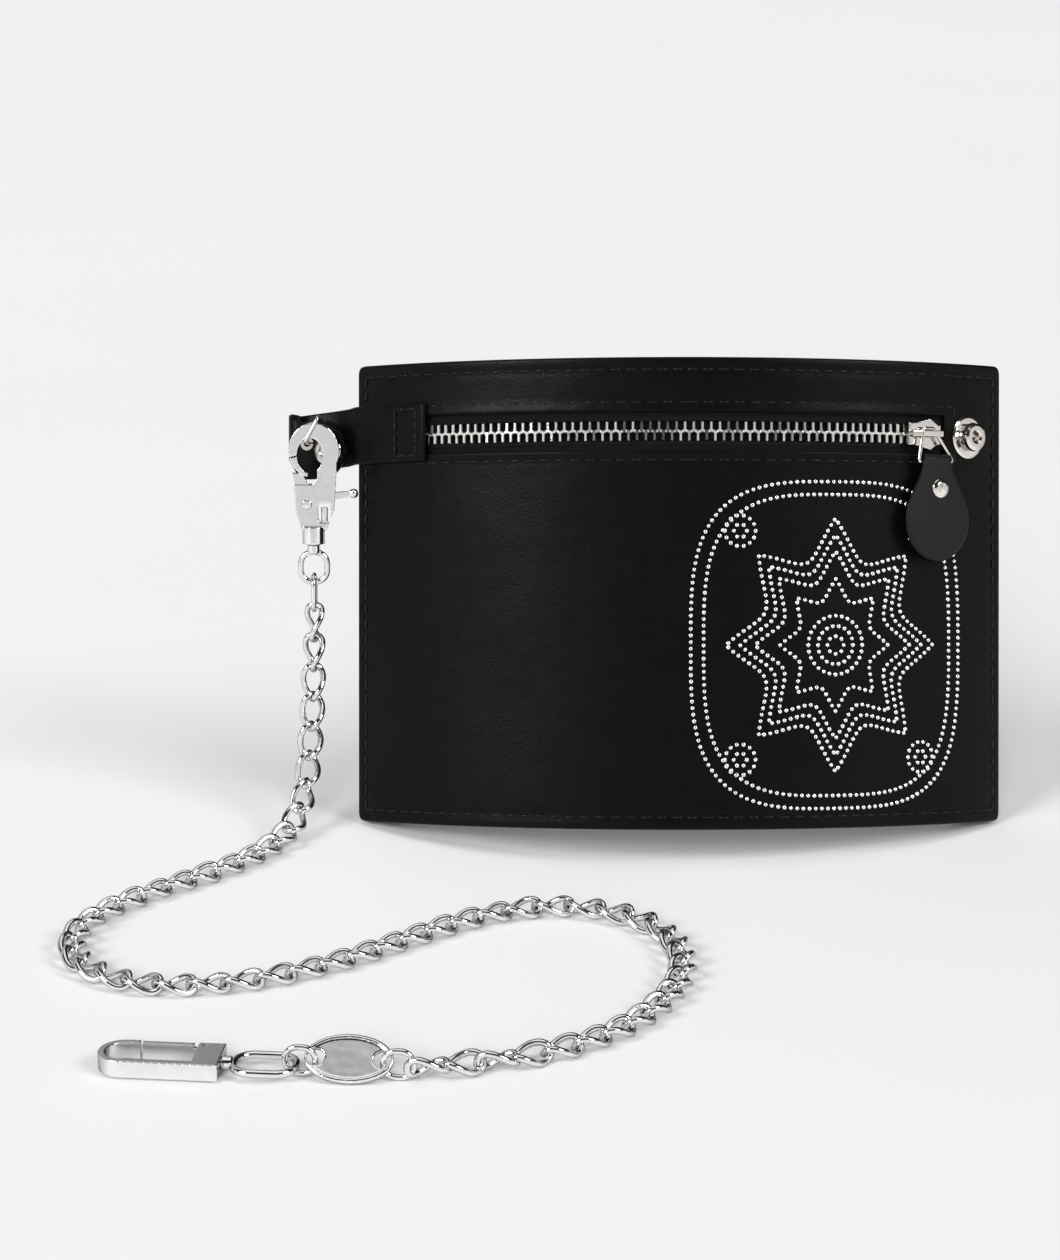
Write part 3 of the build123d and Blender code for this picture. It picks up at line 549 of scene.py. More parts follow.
def cover_front(a, h):
    edge = np.minimum(np.minimum(h, tall - h), half_open - np.abs(a))
    depth = rolled(edge, 0.65 * mm)
    depth = depth + valley(edge - seam_in, 0.16 * mm, 0.7 * mm)
    depth = depth - 0.10 * mm * np.exp(-(((edge - 1.8 * mm) / (1.2 * mm)) ** 2))
    rim = window_distance(a, h)
    lip = np.clip(1 - (rim - 0.5 * mm) / (lip_seam - 0.5 * mm), 0, 1)
    depth = depth - 0.28 * mm * lip**0.5 + rolled(rim, 0.5 * mm)
    depth = depth + valley(rim - lip_seam, 0.14 * mm, 0.5 * mm)
    for crease in (-9.0 * mm, 9.0 * mm):
        depth = depth + valley(a - crease, 0.10 * mm, 1.8 * mm)
    away = np.clip(np.minimum(edge, rim) / (8 * mm), 0, 1)
    depth = depth + away * waves(a, h, 34 * mm, 0.32 * mm, 3.1)
    depth = depth + np.clip(edge / (4 * mm), 0, 1) * waves(a, h, 12 * mm, 0.05 * mm, 9.2)
    near_snap = np.hypot(a - snap_place[0], h - snap_place[1])
    depth = depth * np.clip((near_snap - 6.2 * mm) / (4 * mm), 0, 1)
    return depth


def cover_back(a, h):
    edge = np.minimum(np.minimum(h, tall - h), half_open - np.abs(a))
    rim = window_distance(a, h)
    return cover_thick - rolled(np.minimum(edge, rim), 0.5 * mm)


def outside_window(a, h):
    return (a < window[0]) | (a > window[1]) | (h < window[2]) | (h > window[3])


rows = spread(0, tall, 1.15 * mm, window[2:], 0.65 * mm)
corner = 2.2 * mm
for half, start, stop, ends, lip, way, nodes in (
    ("left", -half_open, 0.0, (True, False), window[0], -1, ("cover_left", "cover_spine")),
    ("right", 0.0, half_open, (False, True), window[1], 1, ("cover_right",)),
):
    bodies, band = folds[half]
    columns = spread(start, stop, 1.15 * mm, (lip,), 0.65 * mm, ends)
    edge = way * (half_open - corner)
    corners = [(edge, corner, way, -1, corner), (edge, tall - corner, way, 1, corner)]
    piece = flat_layer(f"leather_cover_{half}", columns, rows, cover_front, cover_back, outside_window, corners)
    bend(piece, outer_leather)
    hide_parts(*nodes)
    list(bodies)
    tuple(band[0])
    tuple(band[1])
    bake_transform(piece)
    print(piece.name, len(piece.data.polygons), "faces")

# %% [markdown]
# ## Borders, lining and card pockets
# Behind the cover come the turned border that holds the layers together, the zip pocket's lining, and on
# each half a panel with three stepped card pockets. Each is the same kind of flat layer. A pocket's top
# edge bows a little, as stretched leather does between its two seams.


# %% Inner layers
def simple_layer(name, left, right, low, high, near, far, roll, finish, sag=0.0, bulge=0.0, seed=1.0):
    """A bent sheet with turned edges between two depths."""

    def turned(a, h):
        return rolled(np.minimum(np.minimum(a - left, right - a), np.minimum(h - low, high - h)), roll)

    def shape(a, h):
        across = np.clip((a - left) / (right - left), 0, 1)
        rise = np.clip((h - low) / (high - low), 0, 1)
        return bulge * np.sin(np.pi * across) * rise**2

    def front(a, h):
        return near + turned(a, h) + shape(a, h) + waves(a, h, 26 * mm, 0.06 * mm, seed)

    def behind(a, h):
        return far - turned(a, h) + shape(a, h) + waves(a, h, 26 * mm, 0.06 * mm, seed)

    columns, rows = spread(left, right, 2.0 * mm, (), roll), spread(low, high, 2.2 * mm, (), roll)
    piece = flat_layer(name, columns, rows, front, behind)
    if sag:
        for v in piece.data.vertices:
            share = (v.co.z - low) / (high - low)
            across = (v.co.x - left) / (right - left)
            v.co.z -= sag * max(0.0, share) ** 3 * math.sin(math.pi * min(max(across, 0), 1))
    return bend(piece, finish)


inside = 96.0 * mm
panel_near = 5.4 * mm
spine_edge = 12 * mm
panel_top = 116 * mm
rim_low = 4 * mm
panel_thick, pocket_thick = 0.8 * mm, 0.7 * mm
for half, sign, body in (("left", -1, "wallet_left"), ("right", 1, "wallet_right")):
    ends = sorted((sign * inside, sign * spine_edge))
    near = panel_near + panel_thick
    panel = simple_layer(f"leather_panel_{half}", *ends, rim_low, panel_top, panel_near, near,
                         0.35 * mm, inner_leather, sag=0.8 * mm, seed=2.0 + sign)
    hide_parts(f"inner_panel_{half}")
    pieces = [panel]
    for step, (level, top) in enumerate((("upper", 100.0), ("middle", 86.0), ("lower", 72.0))):
        pocket = simple_layer(f"leather_pocket_{half}_{level}", *ends, rim_low, top * mm, near + 0.02 * mm,
                              near + pocket_thick, 0.3 * mm, inner_leather, sag=0.9 * mm, bulge=0.10 * mm,
                              seed=5.0 + step + sign)
        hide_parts(f"card_pocket_{half}_{level}")
        pieces.append(pocket)
        near += pocket_thick
    for piece in pieces:
        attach(piece, body)
print("card panels and pockets made")

# %% [markdown]
# The border is an L of leather along the outer end and the bottom, with a turned edge on both sides. The
# lining comes forward where it crosses the folds.


# %% Borders
def border_layer(half, sign, body):
    low, high = sorted((sign * half_open, sign * spine_edge))
    columns = spread(low, high, 2.0 * mm, (sign * inside,), 0.6 * mm)
    rows = spread(0, panel_top, 2.2 * mm, (rim_low,), 0.6 * mm)

    def edge_of(a, h):
        outer = np.minimum(half_open - np.abs(a), h)
        inner = np.maximum(np.abs(a) - inside, rim_low - h)
        return np.minimum(np.minimum(outer, inner), np.minimum(panel_top - h, np.abs(a) - spine_edge))

    def front(a, h):
        return cover_thick + 0.02 * mm + rolled(edge_of(a, h), 0.3 * mm)

    def behind(a, h):
        return 8.3 * mm - rolled(edge_of(a, h), 0.6 * mm) * 1.3

    def keep(a, h):
        return (np.abs(a) > inside) | (h < rim_low)

    edge = sign * (half_open - corner)
    piece = flat_layer(f"leather_border_{half}", columns, rows, front, behind, keep,
                       [(edge, corner, sign, -1, corner)])
    bend(piece, inner_leather)
    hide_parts(f"binding_{half}")
    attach(piece, body)


border_layer("left", -1, "wallet_left")
border_layer("right", 1, "wallet_right")


def lining_near(a, h):
    depth = 3.5 + 0.7 * np.clip((np.abs(a) / mm - 6) / 8, 0, 1)
    return depth * mm + waves(a, h, 30 * mm, 0.12 * mm, 7.0)


def lining_far(a, h):
    return lining_near(a, h) + 0.6 * mm


lining_rows = spread(3 * mm, 125 * mm, 2.4 * mm, (), 0.2 * mm)
for half, left, right, ends, nodes in (
    ("left", -inside, 0.0, (True, False), ("pocket_lining_left", "spine_lining")),
    ("right", 0.0, inside, (False, True), ("pocket_lining_right",)),
):
    bodies, band = folds[half]
    columns = spread(left, right, 2.0 * mm, (), 0.2 * mm, ends)
    piece = flat_layer(f"cloth_lining_{half}", columns, lining_rows, lining_near, lining_far)
    bend(piece, lining_cloth)
    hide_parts(*nodes)
    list(bodies)
    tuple(band[0])
    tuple(band[1])
    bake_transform(piece)
print("borders and lining made")

# %% [markdown]
# ## Zip tape
# Each side of the zip is a woven tape with a thicker bead, round which the teeth are clamped. The two
# tapes run right across the folds, so like the cover they are made in two halves.

# %% Zip tapes
zip_level = 108.0 * mm
tape_near = 1.45 * mm


def tape_front(a, h):
    gap = np.abs(h - zip_level)
    bead = 0.38 * mm * np.exp(-(((gap - 3.3 * mm) / (0.55 * mm)) ** 2))
    weave = 0.05 * mm * np.sin(a / (2.3 * mm) * 2 * np.pi) * np.exp(-(((gap - 3.6 * mm) / mm) ** 2))
    return tape_near - bead + weave


def tape_back(a, h):
    return np.full_like(a, tape_near + 0.55 * mm)


below_zip = (-11, -9, -7, -5.6, -4.6, -4.1, -3.8, -3.5, -3.3, -3.1, -2.9, -2.7)
tape_rows = [zip_level + s * mm for s in (*below_zip, *(-s for s in below_zip[::-1]))]
for half, left, right, nodes in (
    ("left", -82.0, 0.0, ("zip_tape_left", "zip_tape_spine")),
    ("right", 0.0, 80.5, ("zip_tape_right",)),
):
    bodies, band = folds[half]
    piece = flat_layer(f"cloth_tape_{half}", np.linspace(left, right, 240) * mm, tape_rows, tape_front,
                       tape_back, lambda a, h: np.abs(h - zip_level) > 2.7 * mm)
    bend(piece, tape_cloth)
    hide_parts(*nodes)
    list(bodies)
    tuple(band[0])
    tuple(band[1])
    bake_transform(piece)
print("tapes made")

# %% [markdown]
# ## One tree that sets a shape along a line
# Stitches, teeth, nailheads and chain links are all one small shape repeated along a line. A second tree
# does that: it measures even steps along the line, sets the shape at each step facing the stored
# direction, gives it a small random roll from a fixed seed, and makes the copies real.


# %% The repeating tree
def repeating_tree():
    tree, start, stop = new_tree("Set along a line", (
        ("Shape", "Object", None), ("Step", "Float", 0.004), ("Roll", "Float", 0.0),
        ("Size Spread", "Float", 0.0), ("Seed", "Int", 1), ("Finish", "Material", None)))
    given = start.outputs
    line = add_node(tree, "GeometryNodeMeshToCurve", {"Mesh": given["Geometry"]})
    inputs = {"Curve": line.outputs["Curve"], "Length": given["Step"]}
    even = add_node(tree, "GeometryNodeResampleCurve", inputs, mode="LENGTH")
    tangent = add_node(tree, "GeometryNodeInputTangent").outputs[0]
    aim = add_node(tree, "FunctionNodeAlignRotationToVector", {"Vector": tangent}, axis="X")
    facing = add_node(tree, "GeometryNodeInputNamedAttribute", {"Name": "facing"}, data_type="FLOAT_VECTOR")
    inputs = {"Rotation": aim.outputs["Rotation"], "Vector": facing.outputs["Attribute"]}
    level = add_node(tree, "FunctionNodeAlignRotationToVector", inputs, axis="Z", pivot_axis="X")
    both = []
    for name, base in (("Roll", 0.0), ("Size Spread", 1.0)):
        chance = add_node(tree, "FunctionNodeRandomValue", {"Seed": given["Seed"]}, data_type="FLOAT")
        lowest, highest = [s for s in chance.inputs if s.type == "VALUE" and s.enabled][:2]
        tree.links.new(add_maths(tree, "SUBTRACT", base, given[name]), lowest)
        tree.links.new(add_maths(tree, "ADD", base, given[name]), highest)
        both.append([s for s in chance.outputs if s.type == "VALUE" and s.enabled][0])
    spin = add_node(tree, "FunctionNodeAxisAngleToRotation", {"Axis": (1, 0, 0), "Angle": both[0]})
    inputs = {"Rotation": level.outputs["Rotation"], "Rotate By": spin.outputs["Rotation"]}
    turned = add_node(tree, "FunctionNodeRotateRotation", inputs, rotation_space="LOCAL")
    shape = add_node(tree, "GeometryNodeObjectInfo", {"As Instance": True, "Object": given["Shape"]})
    copies = add_node(tree, "GeometryNodeInstanceOnPoints", {
        "Points": even.outputs["Curve"], "Instance": shape.outputs["Geometry"],
        "Rotation": turned.outputs["Rotation"], "Scale": both[1]})
    real = add_node(tree, "GeometryNodeRealizeInstances", {"Geometry": copies.outputs["Instances"]})
    paint_and_end(tree, real.outputs["Geometry"], start, stop)
    return tree


line_tree = repeating_tree()


def lay_lines(name, lines):
    """Lines as one mesh of edges: each line is a list of (place, facing)."""
    points, edges, ways = [], [], []
    for line in lines:
        first = len(points)
        points += [p for p, _ in line]
        ways += [w for _, w in line]
        edges += [(k, k + 1) for k in range(first, len(points) - 1)]
    mesh = mesh_from(name, points, [], edges)
    facing = mesh.attributes.new("facing", "FLOAT_VECTOR", "POINT")
    facing.data.foreach_set("vector", np.array(ways, np.float32).ravel())
    return put(mesh, name)


def set_along(name, lines, shape, step, finish, roll=0.0, size_spread=0.0, seed=1):
    piece = lay_lines(name, lines)
    run_tree(piece, line_tree, Shape=shape, Step=step, Roll=roll, Finish=finish, Seed=seed,
             **{"Size Spread": size_spread})
    piece.data.polygons.foreach_set("use_smooth", [True] * len(piece.data.polygons))
    return piece


print("repeating tree:", len(line_tree.nodes), "nodes")

# %% [markdown]
# ## Stitching
# A lockstitch shows as short thread humps that dive into the leather at both ends. One hump is a bent
# capsule of a few dozen faces. The seams follow the borders, the zip's window, the strap's box and the
# card pockets.


# %% The stitch and the seams
def stitch_shape(length=2.7 * mm, thick=0.36 * mm):
    points = []
    sides = 6
    stations = (-0.5, -0.42, -0.2, 0.2, 0.42, 0.5)
    lifts = (-0.75, 0.05, 0.42, 0.42, 0.05, -0.75)
    for x, lift in zip(stations, lifts):
        for k in range(sides):
            turn = 2 * math.pi * k / sides
            points.append((x * length, thick * math.cos(turn), thick * (lift + 0.8 * math.sin(turn))))
    faces = ring_faces(sides, len(stations))
    piece = put(mesh_from("stitch_shape", points, faces), "stitch_shape")
    tidy(piece)
    return piece


stitch = stitch_shape()
stitch_step = 4.2 * mm


def surface_line(stops, out=0.0, spacing=2.5 * mm, facing=1):
    """A line over the wallet through (along, high) stops, with its outward directions."""
    line = []
    for (a0, h0), (a1, h1) in zip(stops, stops[1:]):
        count = max(2, int(math.hypot(a1 - a0, h1 - h0) / spacing))
        for k in range(count + (1 if (a1, h1) == stops[-1] else 0)):
            t = k / count
            a, h = a0 + (a1 - a0) * t, h0 + (h1 - h0) * t
            line.append((on_wallet(a, h, out), outward(a) * facing))
    return line


edge_a, low_h, high_h = half_open - seam_in, seam_in, tall - seam_in
lip_low, lip_high = window[2] - lip_seam, window[3] + lip_seam
lip_left, lip_right = window[0] - 1.0 * mm, window[1] + lip_seam + 1.0 * mm
left_seams = [
    [(-2.0 * mm, low_h), (-edge_a + 1.4 * mm, low_h)],
    [(-edge_a, low_h + 1.2 * mm), (-edge_a, high_h - 1.2 * mm)],
    [(-2.0 * mm, high_h), (-edge_a + 1.4 * mm, high_h)],
    [(-0.5 * mm, lip_high), (lip_left, lip_high)],
    [(-0.5 * mm, lip_low), (lip_left, lip_low)],
]
right_seams = [
    [(2.0 * mm, low_h), (edge_a - 1.4 * mm, low_h)],
    [(edge_a, low_h + 1.2 * mm), (edge_a, high_h - 1.2 * mm)],
    [(2.0 * mm, high_h), (edge_a - 1.4 * mm, high_h)],
    [(2.0 * mm, lip_high), (lip_right - 1.4 * mm, lip_high)],
    [(2.0 * mm, lip_low), (lip_right - 1.4 * mm, lip_low)],
    [(lip_right, lip_low + 1.4 * mm), (lip_right, lip_high - 1.4 * mm)],
]
for half, seams in (("left", left_seams), ("right", right_seams)):
    bodies, band = folds[half]
    lines = [surface_line(seam, -0.12 * mm) for seam in seams]
    piece = set_along(f"thread_cover_{half}", lines, stitch, stitch_step, thread, 0.12, 0.05, 4)
    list(bodies)
    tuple(band[0])
    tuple(band[1])
    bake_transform(piece)
    print(piece.name, len(piece.data.polygons), "faces")

for half, sign, body in (("left", -1, "wallet_left"), ("right", 1, "wallet_right")):
    border = sign * 98.0 * mm
    inner = sign * 14.5 * mm
    rows_of_thread = [
        surface_line([(border, 114 * mm), (border, 2 * mm), (inner, 2 * mm)], -8.25 * mm, facing=-1),
        surface_line([(inner, 6 * mm), (inner, 70 * mm)], -8.3 * mm, facing=-1),
    ]
    piece = set_along(f"thread_inside_{half}", rows_of_thread, stitch, stitch_step, thread, 0.1, 0.05, 8)
    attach(piece, body)
print("inner seams made")

# %% [markdown]
# ## Teeth
# A metal tooth is a small bar clamped on the tape's bead, with a wider nose that locks between two noses
# of the other row. Both rows are the same shape: the lower row's line runs the other way, which turns it
# upside down, and starts half a step later.


# %% Zip teeth
def tooth_shape():
    outline = [(-0.46, 2.85), (0.46, 2.85), (0.46, 0.42), (0.86, 0.16), (0.86, -0.16), (0.42, -0.44),
               (-0.42, -0.44), (-0.86, -0.16), (-0.86, 0.16), (-0.46, 0.42)]
    levels = ((-1.05, 1.0), (0.62, 1.0), (1.02, 0.62))
    points = []
    for level, share in levels:
        middle = 1.2 if share < 1 else 0
        for x, y in outline:
            points.append((x * share * mm, (middle + (y - middle) * (0.5 + share / 2)) * mm, level * mm))
    faces = ring_faces(len(outline), len(levels))
    piece = put(mesh_from("tooth_shape", points, faces), "tooth_shape")
    tidy(piece, smooth=False)
    return piece


tooth = tooth_shape()
tooth_step = 2.3 * mm


def tooth_lines(first, last):
    """Upper row towards the right and lower row towards the left, between two tooth counts."""
    lines = []
    for way, shift in ((1, 0.0), (-1, 0.5)):
        stops = [(k + shift) * tooth_step for k in range(first, last)]
        line = [(on_wallet(a, zip_level, -1.7 * mm), outward(a)) for a in stops]
        lines.append(line if way > 0 else line[::-1])
    return lines


for half, first, last, nodes in (
    ("left", -33, 0, ("zip_teeth_left", "zip_teeth_spine")),
    ("right", 0, 30, ("zip_teeth_right",)),
):
    bodies, band = folds[half]
    lines = tooth_lines(first, last)
    piece = set_along(f"metal_teeth_{half}", lines, tooth, tooth_step * 0.9999, tooth_metal, 0.05, 0.0, 3)
    piece.data.polygons.foreach_set("use_smooth", [False] * len(piece.data.polygons))
    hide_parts(*nodes)
    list(bodies)
    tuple(band[0])
    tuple(band[1])
    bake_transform(piece)
    print(piece.name, len(piece.data.polygons), "faces")

# %% [markdown]
# ## Cast and pressed metal
# The hook, the clip, the slider and the tag are cast or pressed and then tumbled, so no edge stays sharp.
# Their exact solids are copied, turned into an even skin of small faces and relaxed, which rounds every
# edge by a few tenths of a millimetre and keeps the size.


# %% Cast parts
def cast(node, body, finish, slot, voxel=0.16 * mm, rounds=5, factor=0.6):
    piece = put(frame["nodes"][node].data.copy(), f"cast_{node}")
    piece.data.materials.clear()
    piece.data.materials.append(finish)
    tidy(piece)
    remesh = piece.modifiers.new("skin", "REMESH")
    remesh.mode = "VOXEL"
    remesh.voxel_size = voxel
    remesh.use_smooth_shade = True
    relax = piece.modifiers.new("relax", "SMOOTH")
    relax.factor = factor
    relax.iterations = rounds
    settle(piece)
    piece.data.materials.clear()
    piece.data.materials.append(finish)
    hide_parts(node)
    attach(piece, body)
    return piece


for node, body, finish, slot, voxel in (
    ("hook_body", "trigger_hook", chrome, "polished_metal", 0.16),
    ("hook_lever", "hook_lever", chrome, "polished_metal", 0.14),
    ("hook_rivet", "trigger_hook", chrome, "polished_metal", 0.12),
    ("hook_eye", "swivel_eye", chrome, "polished_metal", 0.14),
    ("zip_slider", "zip_slider", nickel, "zip_metal", 0.12),
    ("pull_rivet", "pull_tab", nickel, "snap_metal", 0.12),
    ("clip_frame", "belt_clip", chrome, "polished_metal", 0.18),
    ("clip_gate", "clip_gate", chrome, "polished_metal", 0.14),
    ("tag", "wallet_left", chrome, "polished_metal", 0.18),
):
    piece = cast(node, body, finish, slot, voxel * mm)
    print(piece.name, len(piece.data.polygons), "faces")

plain_nodes = {
    chrome: ("clip_pin", "clip_swivel", "tag_link", "end_link", "first_link", "strap_ring", "hook_spring"),
    nickel: ("snap_stud", "snap_stud_back", "snap_socket", "snap_cap", "strap_eyelet", "zip_stop", "zip_bail",
             "zip_slider_back"),
}
for finish, names in plain_nodes.items():
    for name in names:
        node = frame["nodes"][name]
        node.data.materials.clear()
        node.data.materials.append(finish)
print("plain metal nodes painted")

# %% [markdown]
# ## The strap
# The strap is one strip: sewn down beside the zip, free past the wallet's end, turned back on itself and
# hanging with its snap socket outwards. It is swept along its plan line with a rounded section. The part
# beyond the bend turns when the strap is opened, so it is made as a second piece.


# %% Strap
def plan_point(x, deep, high):
    return home + side * x + back * deep + up * high


def with_flat(name, points, faces, flat, finish):
    """A piece with its own flat coordinates, for shapes that the bending tree doesn't make."""
    mesh = mesh_from(name, points, faces)
    store = mesh.attributes.new("flat", "FLOAT_VECTOR", "POINT")
    store.data.foreach_set("vector", np.array(flat, np.float32).ravel())
    mesh.materials.append(finish)
    piece = put(mesh, name)
    tidy(piece)
    return piece


def strip(name, stations, thick, finish, cap_start=True, cap_stop=True):
    """A strip through (place, across, up, half width) stations, with rounded edges and ends."""
    round_r = 0.42 * thick
    ring = []
    for cx, cz in ((1, 1), (-1, 1), (-1, -1), (1, -1)):
        for k in range(4):
            turn = math.atan2(cz, cx) - math.pi / 4 + k * math.pi / 6
            ring.append((cx, cz, math.cos(turn), math.sin(turn)))
    points, flat = [], []

    def add_section(place, across, lift, half, run, share=1.0):
        for cx, cz, dx, dz in ring:
            out = cx * (thick / 2 - round_r) + dx * round_r
            rise = cz * (half - round_r) + dz * round_r
            points.append(place + across * out * share + lift * rise)
            flat.append((run, out, rise))

    def add_cap(station, beyond, squeeze, run):
        place, across, lift, half = station
        for reach, share in squeeze:
            narrower = half - (1 - reach) * round_r * 0.4
            add_section(place + beyond * (1 - reach) * round_r, across, lift, narrower, run, share)

    squeeze = ((0.0, 0.35), (0.25, 0.75), (0.6, 0.95))
    if cap_start:
        add_cap(stations[0], -(stations[1][0] - stations[0][0]).normalized(), squeeze, 0)
    travelled = 0.0
    for k, station in enumerate(stations):
        if k:
            travelled += (station[0] - stations[k - 1][0]).length
        add_section(*station, travelled)
    if cap_stop:
        add_cap(stations[-1], (stations[-1][0] - stations[-2][0]).normalized(), squeeze[::-1], travelled)
    return with_flat(name, points, ring_faces(len(ring), len(points) // len(ring)), flat, finish)


strap_thick = 1.5 * mm
strap_half = 8.1 * mm
stations = []
for k in range(31):
    along = (-74.9 - 25.1 * k / 30) * mm
    middle = (108.7 - 0.25 * (k / 30) ** 2) * mm
    lift = 0.30 * mm * (1 - min(1, max(0, (k - 9) / 3)))
    stations.append((on_wallet(along, middle, strap_thick / 2 + lift), outward(along), up, strap_half))
bend_start = (-106.95, 44.6)
edge_turn = -half_open / bend_radius
strap_radius = (bend_radius + strap_thick / 2) / mm
edge_x = strap_radius * math.sin(edge_turn)
edge_deep = bend_radius / mm - strap_radius * math.cos(edge_turn)
plan = [(edge_x, edge_deep), (-92.9, 38.4), (-96.4, 41.0), (-100.0, 42.5), (-103.6, 43.8), bend_start]
for k, (x, deep) in enumerate(plan[1:], 1):
    before = plan[k - 1]
    after = plan[min(k + 1, len(plan) - 1)]
    run = (side * (after[0] - before[0]) + back * (after[1] - before[1])).normalized()
    across = up.cross(run).normalized()
    if across.dot(outward(-0.1)) < 0:
        across = -across
    middle = (108.4 - 2.0 * k / (len(plan) - 1)) * mm
    stations.append((plan_point(x * mm, deep * mm, middle), across, up, strap_half))
strap_root = strip("leather_strap_root", stations, strap_thick, outer_leather, cap_stop=False)
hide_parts("strap_base", "strap_free")
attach(strap_root, "wallet_left")

turn_stations = []
for k in range(13):
    angle = math.radians(90 + 180 * k / 12)
    x, deep = -106.95 + 2.6 * math.cos(angle), 42.0 + 2.6 * math.sin(angle)
    across = (side * math.cos(angle) + back * math.sin(angle)).normalized()
    pinch = math.sin(math.pi * k / 12)
    middle = (106.4 - 2.0 * k / 12 + 3.0 * pinch) * mm
    turn_stations.append((plan_point(x * mm, deep * mm, middle), across, up, strap_half - 1.7 * mm * pinch))
slope = math.atan2(35.7 - 39.4, -93.9 + 106.6)
flap_run = side * math.cos(slope) + back * math.sin(slope)
flap_out = side * math.sin(slope) - back * math.cos(slope)
flap_long, round_r = 13.2 * mm, 7.4 * mm
for k in range(1, 19):
    reach = flap_long * k / 18
    left = flap_long - reach
    drop = 0.0 if left > round_r else round_r - math.sqrt(max(0.0, round_r**2 - (round_r - left) ** 2))
    place = plan_point(-106.6 * mm, 39.4 * mm, 104.4 * mm) + flap_run * reach
    turn_stations.append((place, flap_out, up, max(strap_half - drop, 1.2 * mm)))
strap_flap = strip("leather_strap_flap", turn_stations, strap_thick, outer_leather, cap_start=False)
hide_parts("strap_fold", "strap_flap")
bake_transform(strap_flap)

box_left, box_right, box_low, box_high = -84.2 * mm, -77.2 * mm, 102.3 * mm, 115.1 * mm
quarter, eighth = (box_right - box_left) / 4, (box_high - box_low) / 8
thread_out = 1.72 * mm
box_lines = [
    surface_line([(box_left, box_low + eighth), (box_left, box_high - eighth)], thread_out),
    surface_line([(box_right, box_low + eighth), (box_right, box_high - eighth)], thread_out),
    surface_line([(box_left + quarter, box_low), (box_right - quarter, box_low)], thread_out),
    surface_line([(box_left + quarter, box_high), (box_right - quarter, box_high)], thread_out),
]
strap_thread = set_along("thread_strap", box_lines, stitch, 3.19 * mm, thread, 0.1, 0.05, 6)
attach(strap_thread, "wallet_left")
print("strap made")

# %% [markdown]
# ## The leather pull
# The pull is one piece of leather folded round the bail's bar and closed by a rivet: two teardrop leaves
# and a rounded fold between them. Each leaf is drawn as rings that shrink towards the middle, crowned and
# with a turned rim, so that it catches the light as padded leather does.

# %% Pull
slider_along = 69.5 * mm
pull_face = outward(slider_along)
pull_side = onward(slider_along)
bar_out = 2.75 * mm
bar_place = (on_wallet(slider_along, zip_level) + pull_side * (2.8 * mm) - up * (7.8 * mm)
             + pull_face * bar_out)
rim = [(-4.4, 1.2), (-5.0, -1.8), (-6.6, -5.2), (-9.0, -9.4), (-10.6, -13.6), (-10.8, -17.8), (-9.2, -22.2),
       (-5.6, -26.0), (0.0, -27.6), (5.6, -26.0), (9.2, -22.2), (10.8, -17.8), (10.6, -13.6), (9.0, -9.4),
       (6.6, -5.2), (5.0, -1.8), (4.4, 1.2)]
rim_line = [(p.x, p.y) for p in smooth_line("pull_rim", [(x * mm, y * mm, 0) for x, y in rim])]


def leaf(name, near, far, shift):
    """A teardrop leaf between two distances from the pull's middle plane."""
    (right, top), width = rim[-1], rim[-1][0] - rim[0][0]
    outline = rim_line + [((right - width * k / 8) * mm, top * mm) for k in range(1, 8)]
    middle = Vector((0.0, -14.5)) * mm
    rim_wide = 11.0 * mm
    shares = (0.0, 0.3, 0.6, 0.82, 0.92, 0.965, 0.988, 1.0)
    thick = far - near
    points, flat, faces, rings = [], [], [], []
    for facing in (1, -1):
        for share in shares:
            ring = []
            for x, y in outline:
                fall = rolled(np.array([(1 - share) * rim_wide]), thick * 0.48)[0]
                crown = 0.25 * mm * (1 - share**3) * facing
                level = (far - fall + max(crown, 0)) if facing > 0 else (near + fall)
                px = middle.x + (x - middle.x) * share
                py = middle.y + (y - middle.y) * share
                ring.append(len(points))
                points.append(bar_place + pull_side * (px + shift) + up * py + pull_face * level)
                flat.append((px, level, py))
            rings.append(ring)
    half = len(shares)
    for group in (rings[:half], rings[half:]):
        for inner, outer in zip(group, group[1:]):
            for k in range(len(outline)):
                m = (k + 1) % len(outline)
                faces.append((inner[k], inner[m], outer[m], outer[k]))
    for k in range(len(outline)):
        m = (k + 1) % len(outline)
        faces.append((rings[half - 1][k], rings[half - 1][m], rings[-1][m], rings[-1][k]))
    piece = with_flat(name, points, faces, flat, pull_leather)
    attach(piece, "pull_tab")
    return piece


front_leaf = leaf("leather_pull_front", 0.40 * mm, 1.65 * mm, -0.45 * mm)
back_leaf = leaf("leather_pull_back", -1.60 * mm, -0.05 * mm, 0.85 * mm)
fold_stations = []
for k in range(9):
    angle = math.radians(180 * k / 8)
    place = bar_place + up * (1.15 * mm * math.sin(angle) + 0.6 * mm)
    place += pull_face * (1.12 * mm * math.cos(angle))
    across = (up * math.sin(angle) + pull_face * math.cos(angle)).normalized()
    fold_stations.append((place, across, pull_side, 4.5 * mm))
pull_fold = strip("leather_pull_fold", fold_stations, 1.0 * mm, pull_leather)
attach(pull_fold, "pull_tab")
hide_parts("pull_front", "pull_core")
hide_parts("pull_back")
print("pull made")
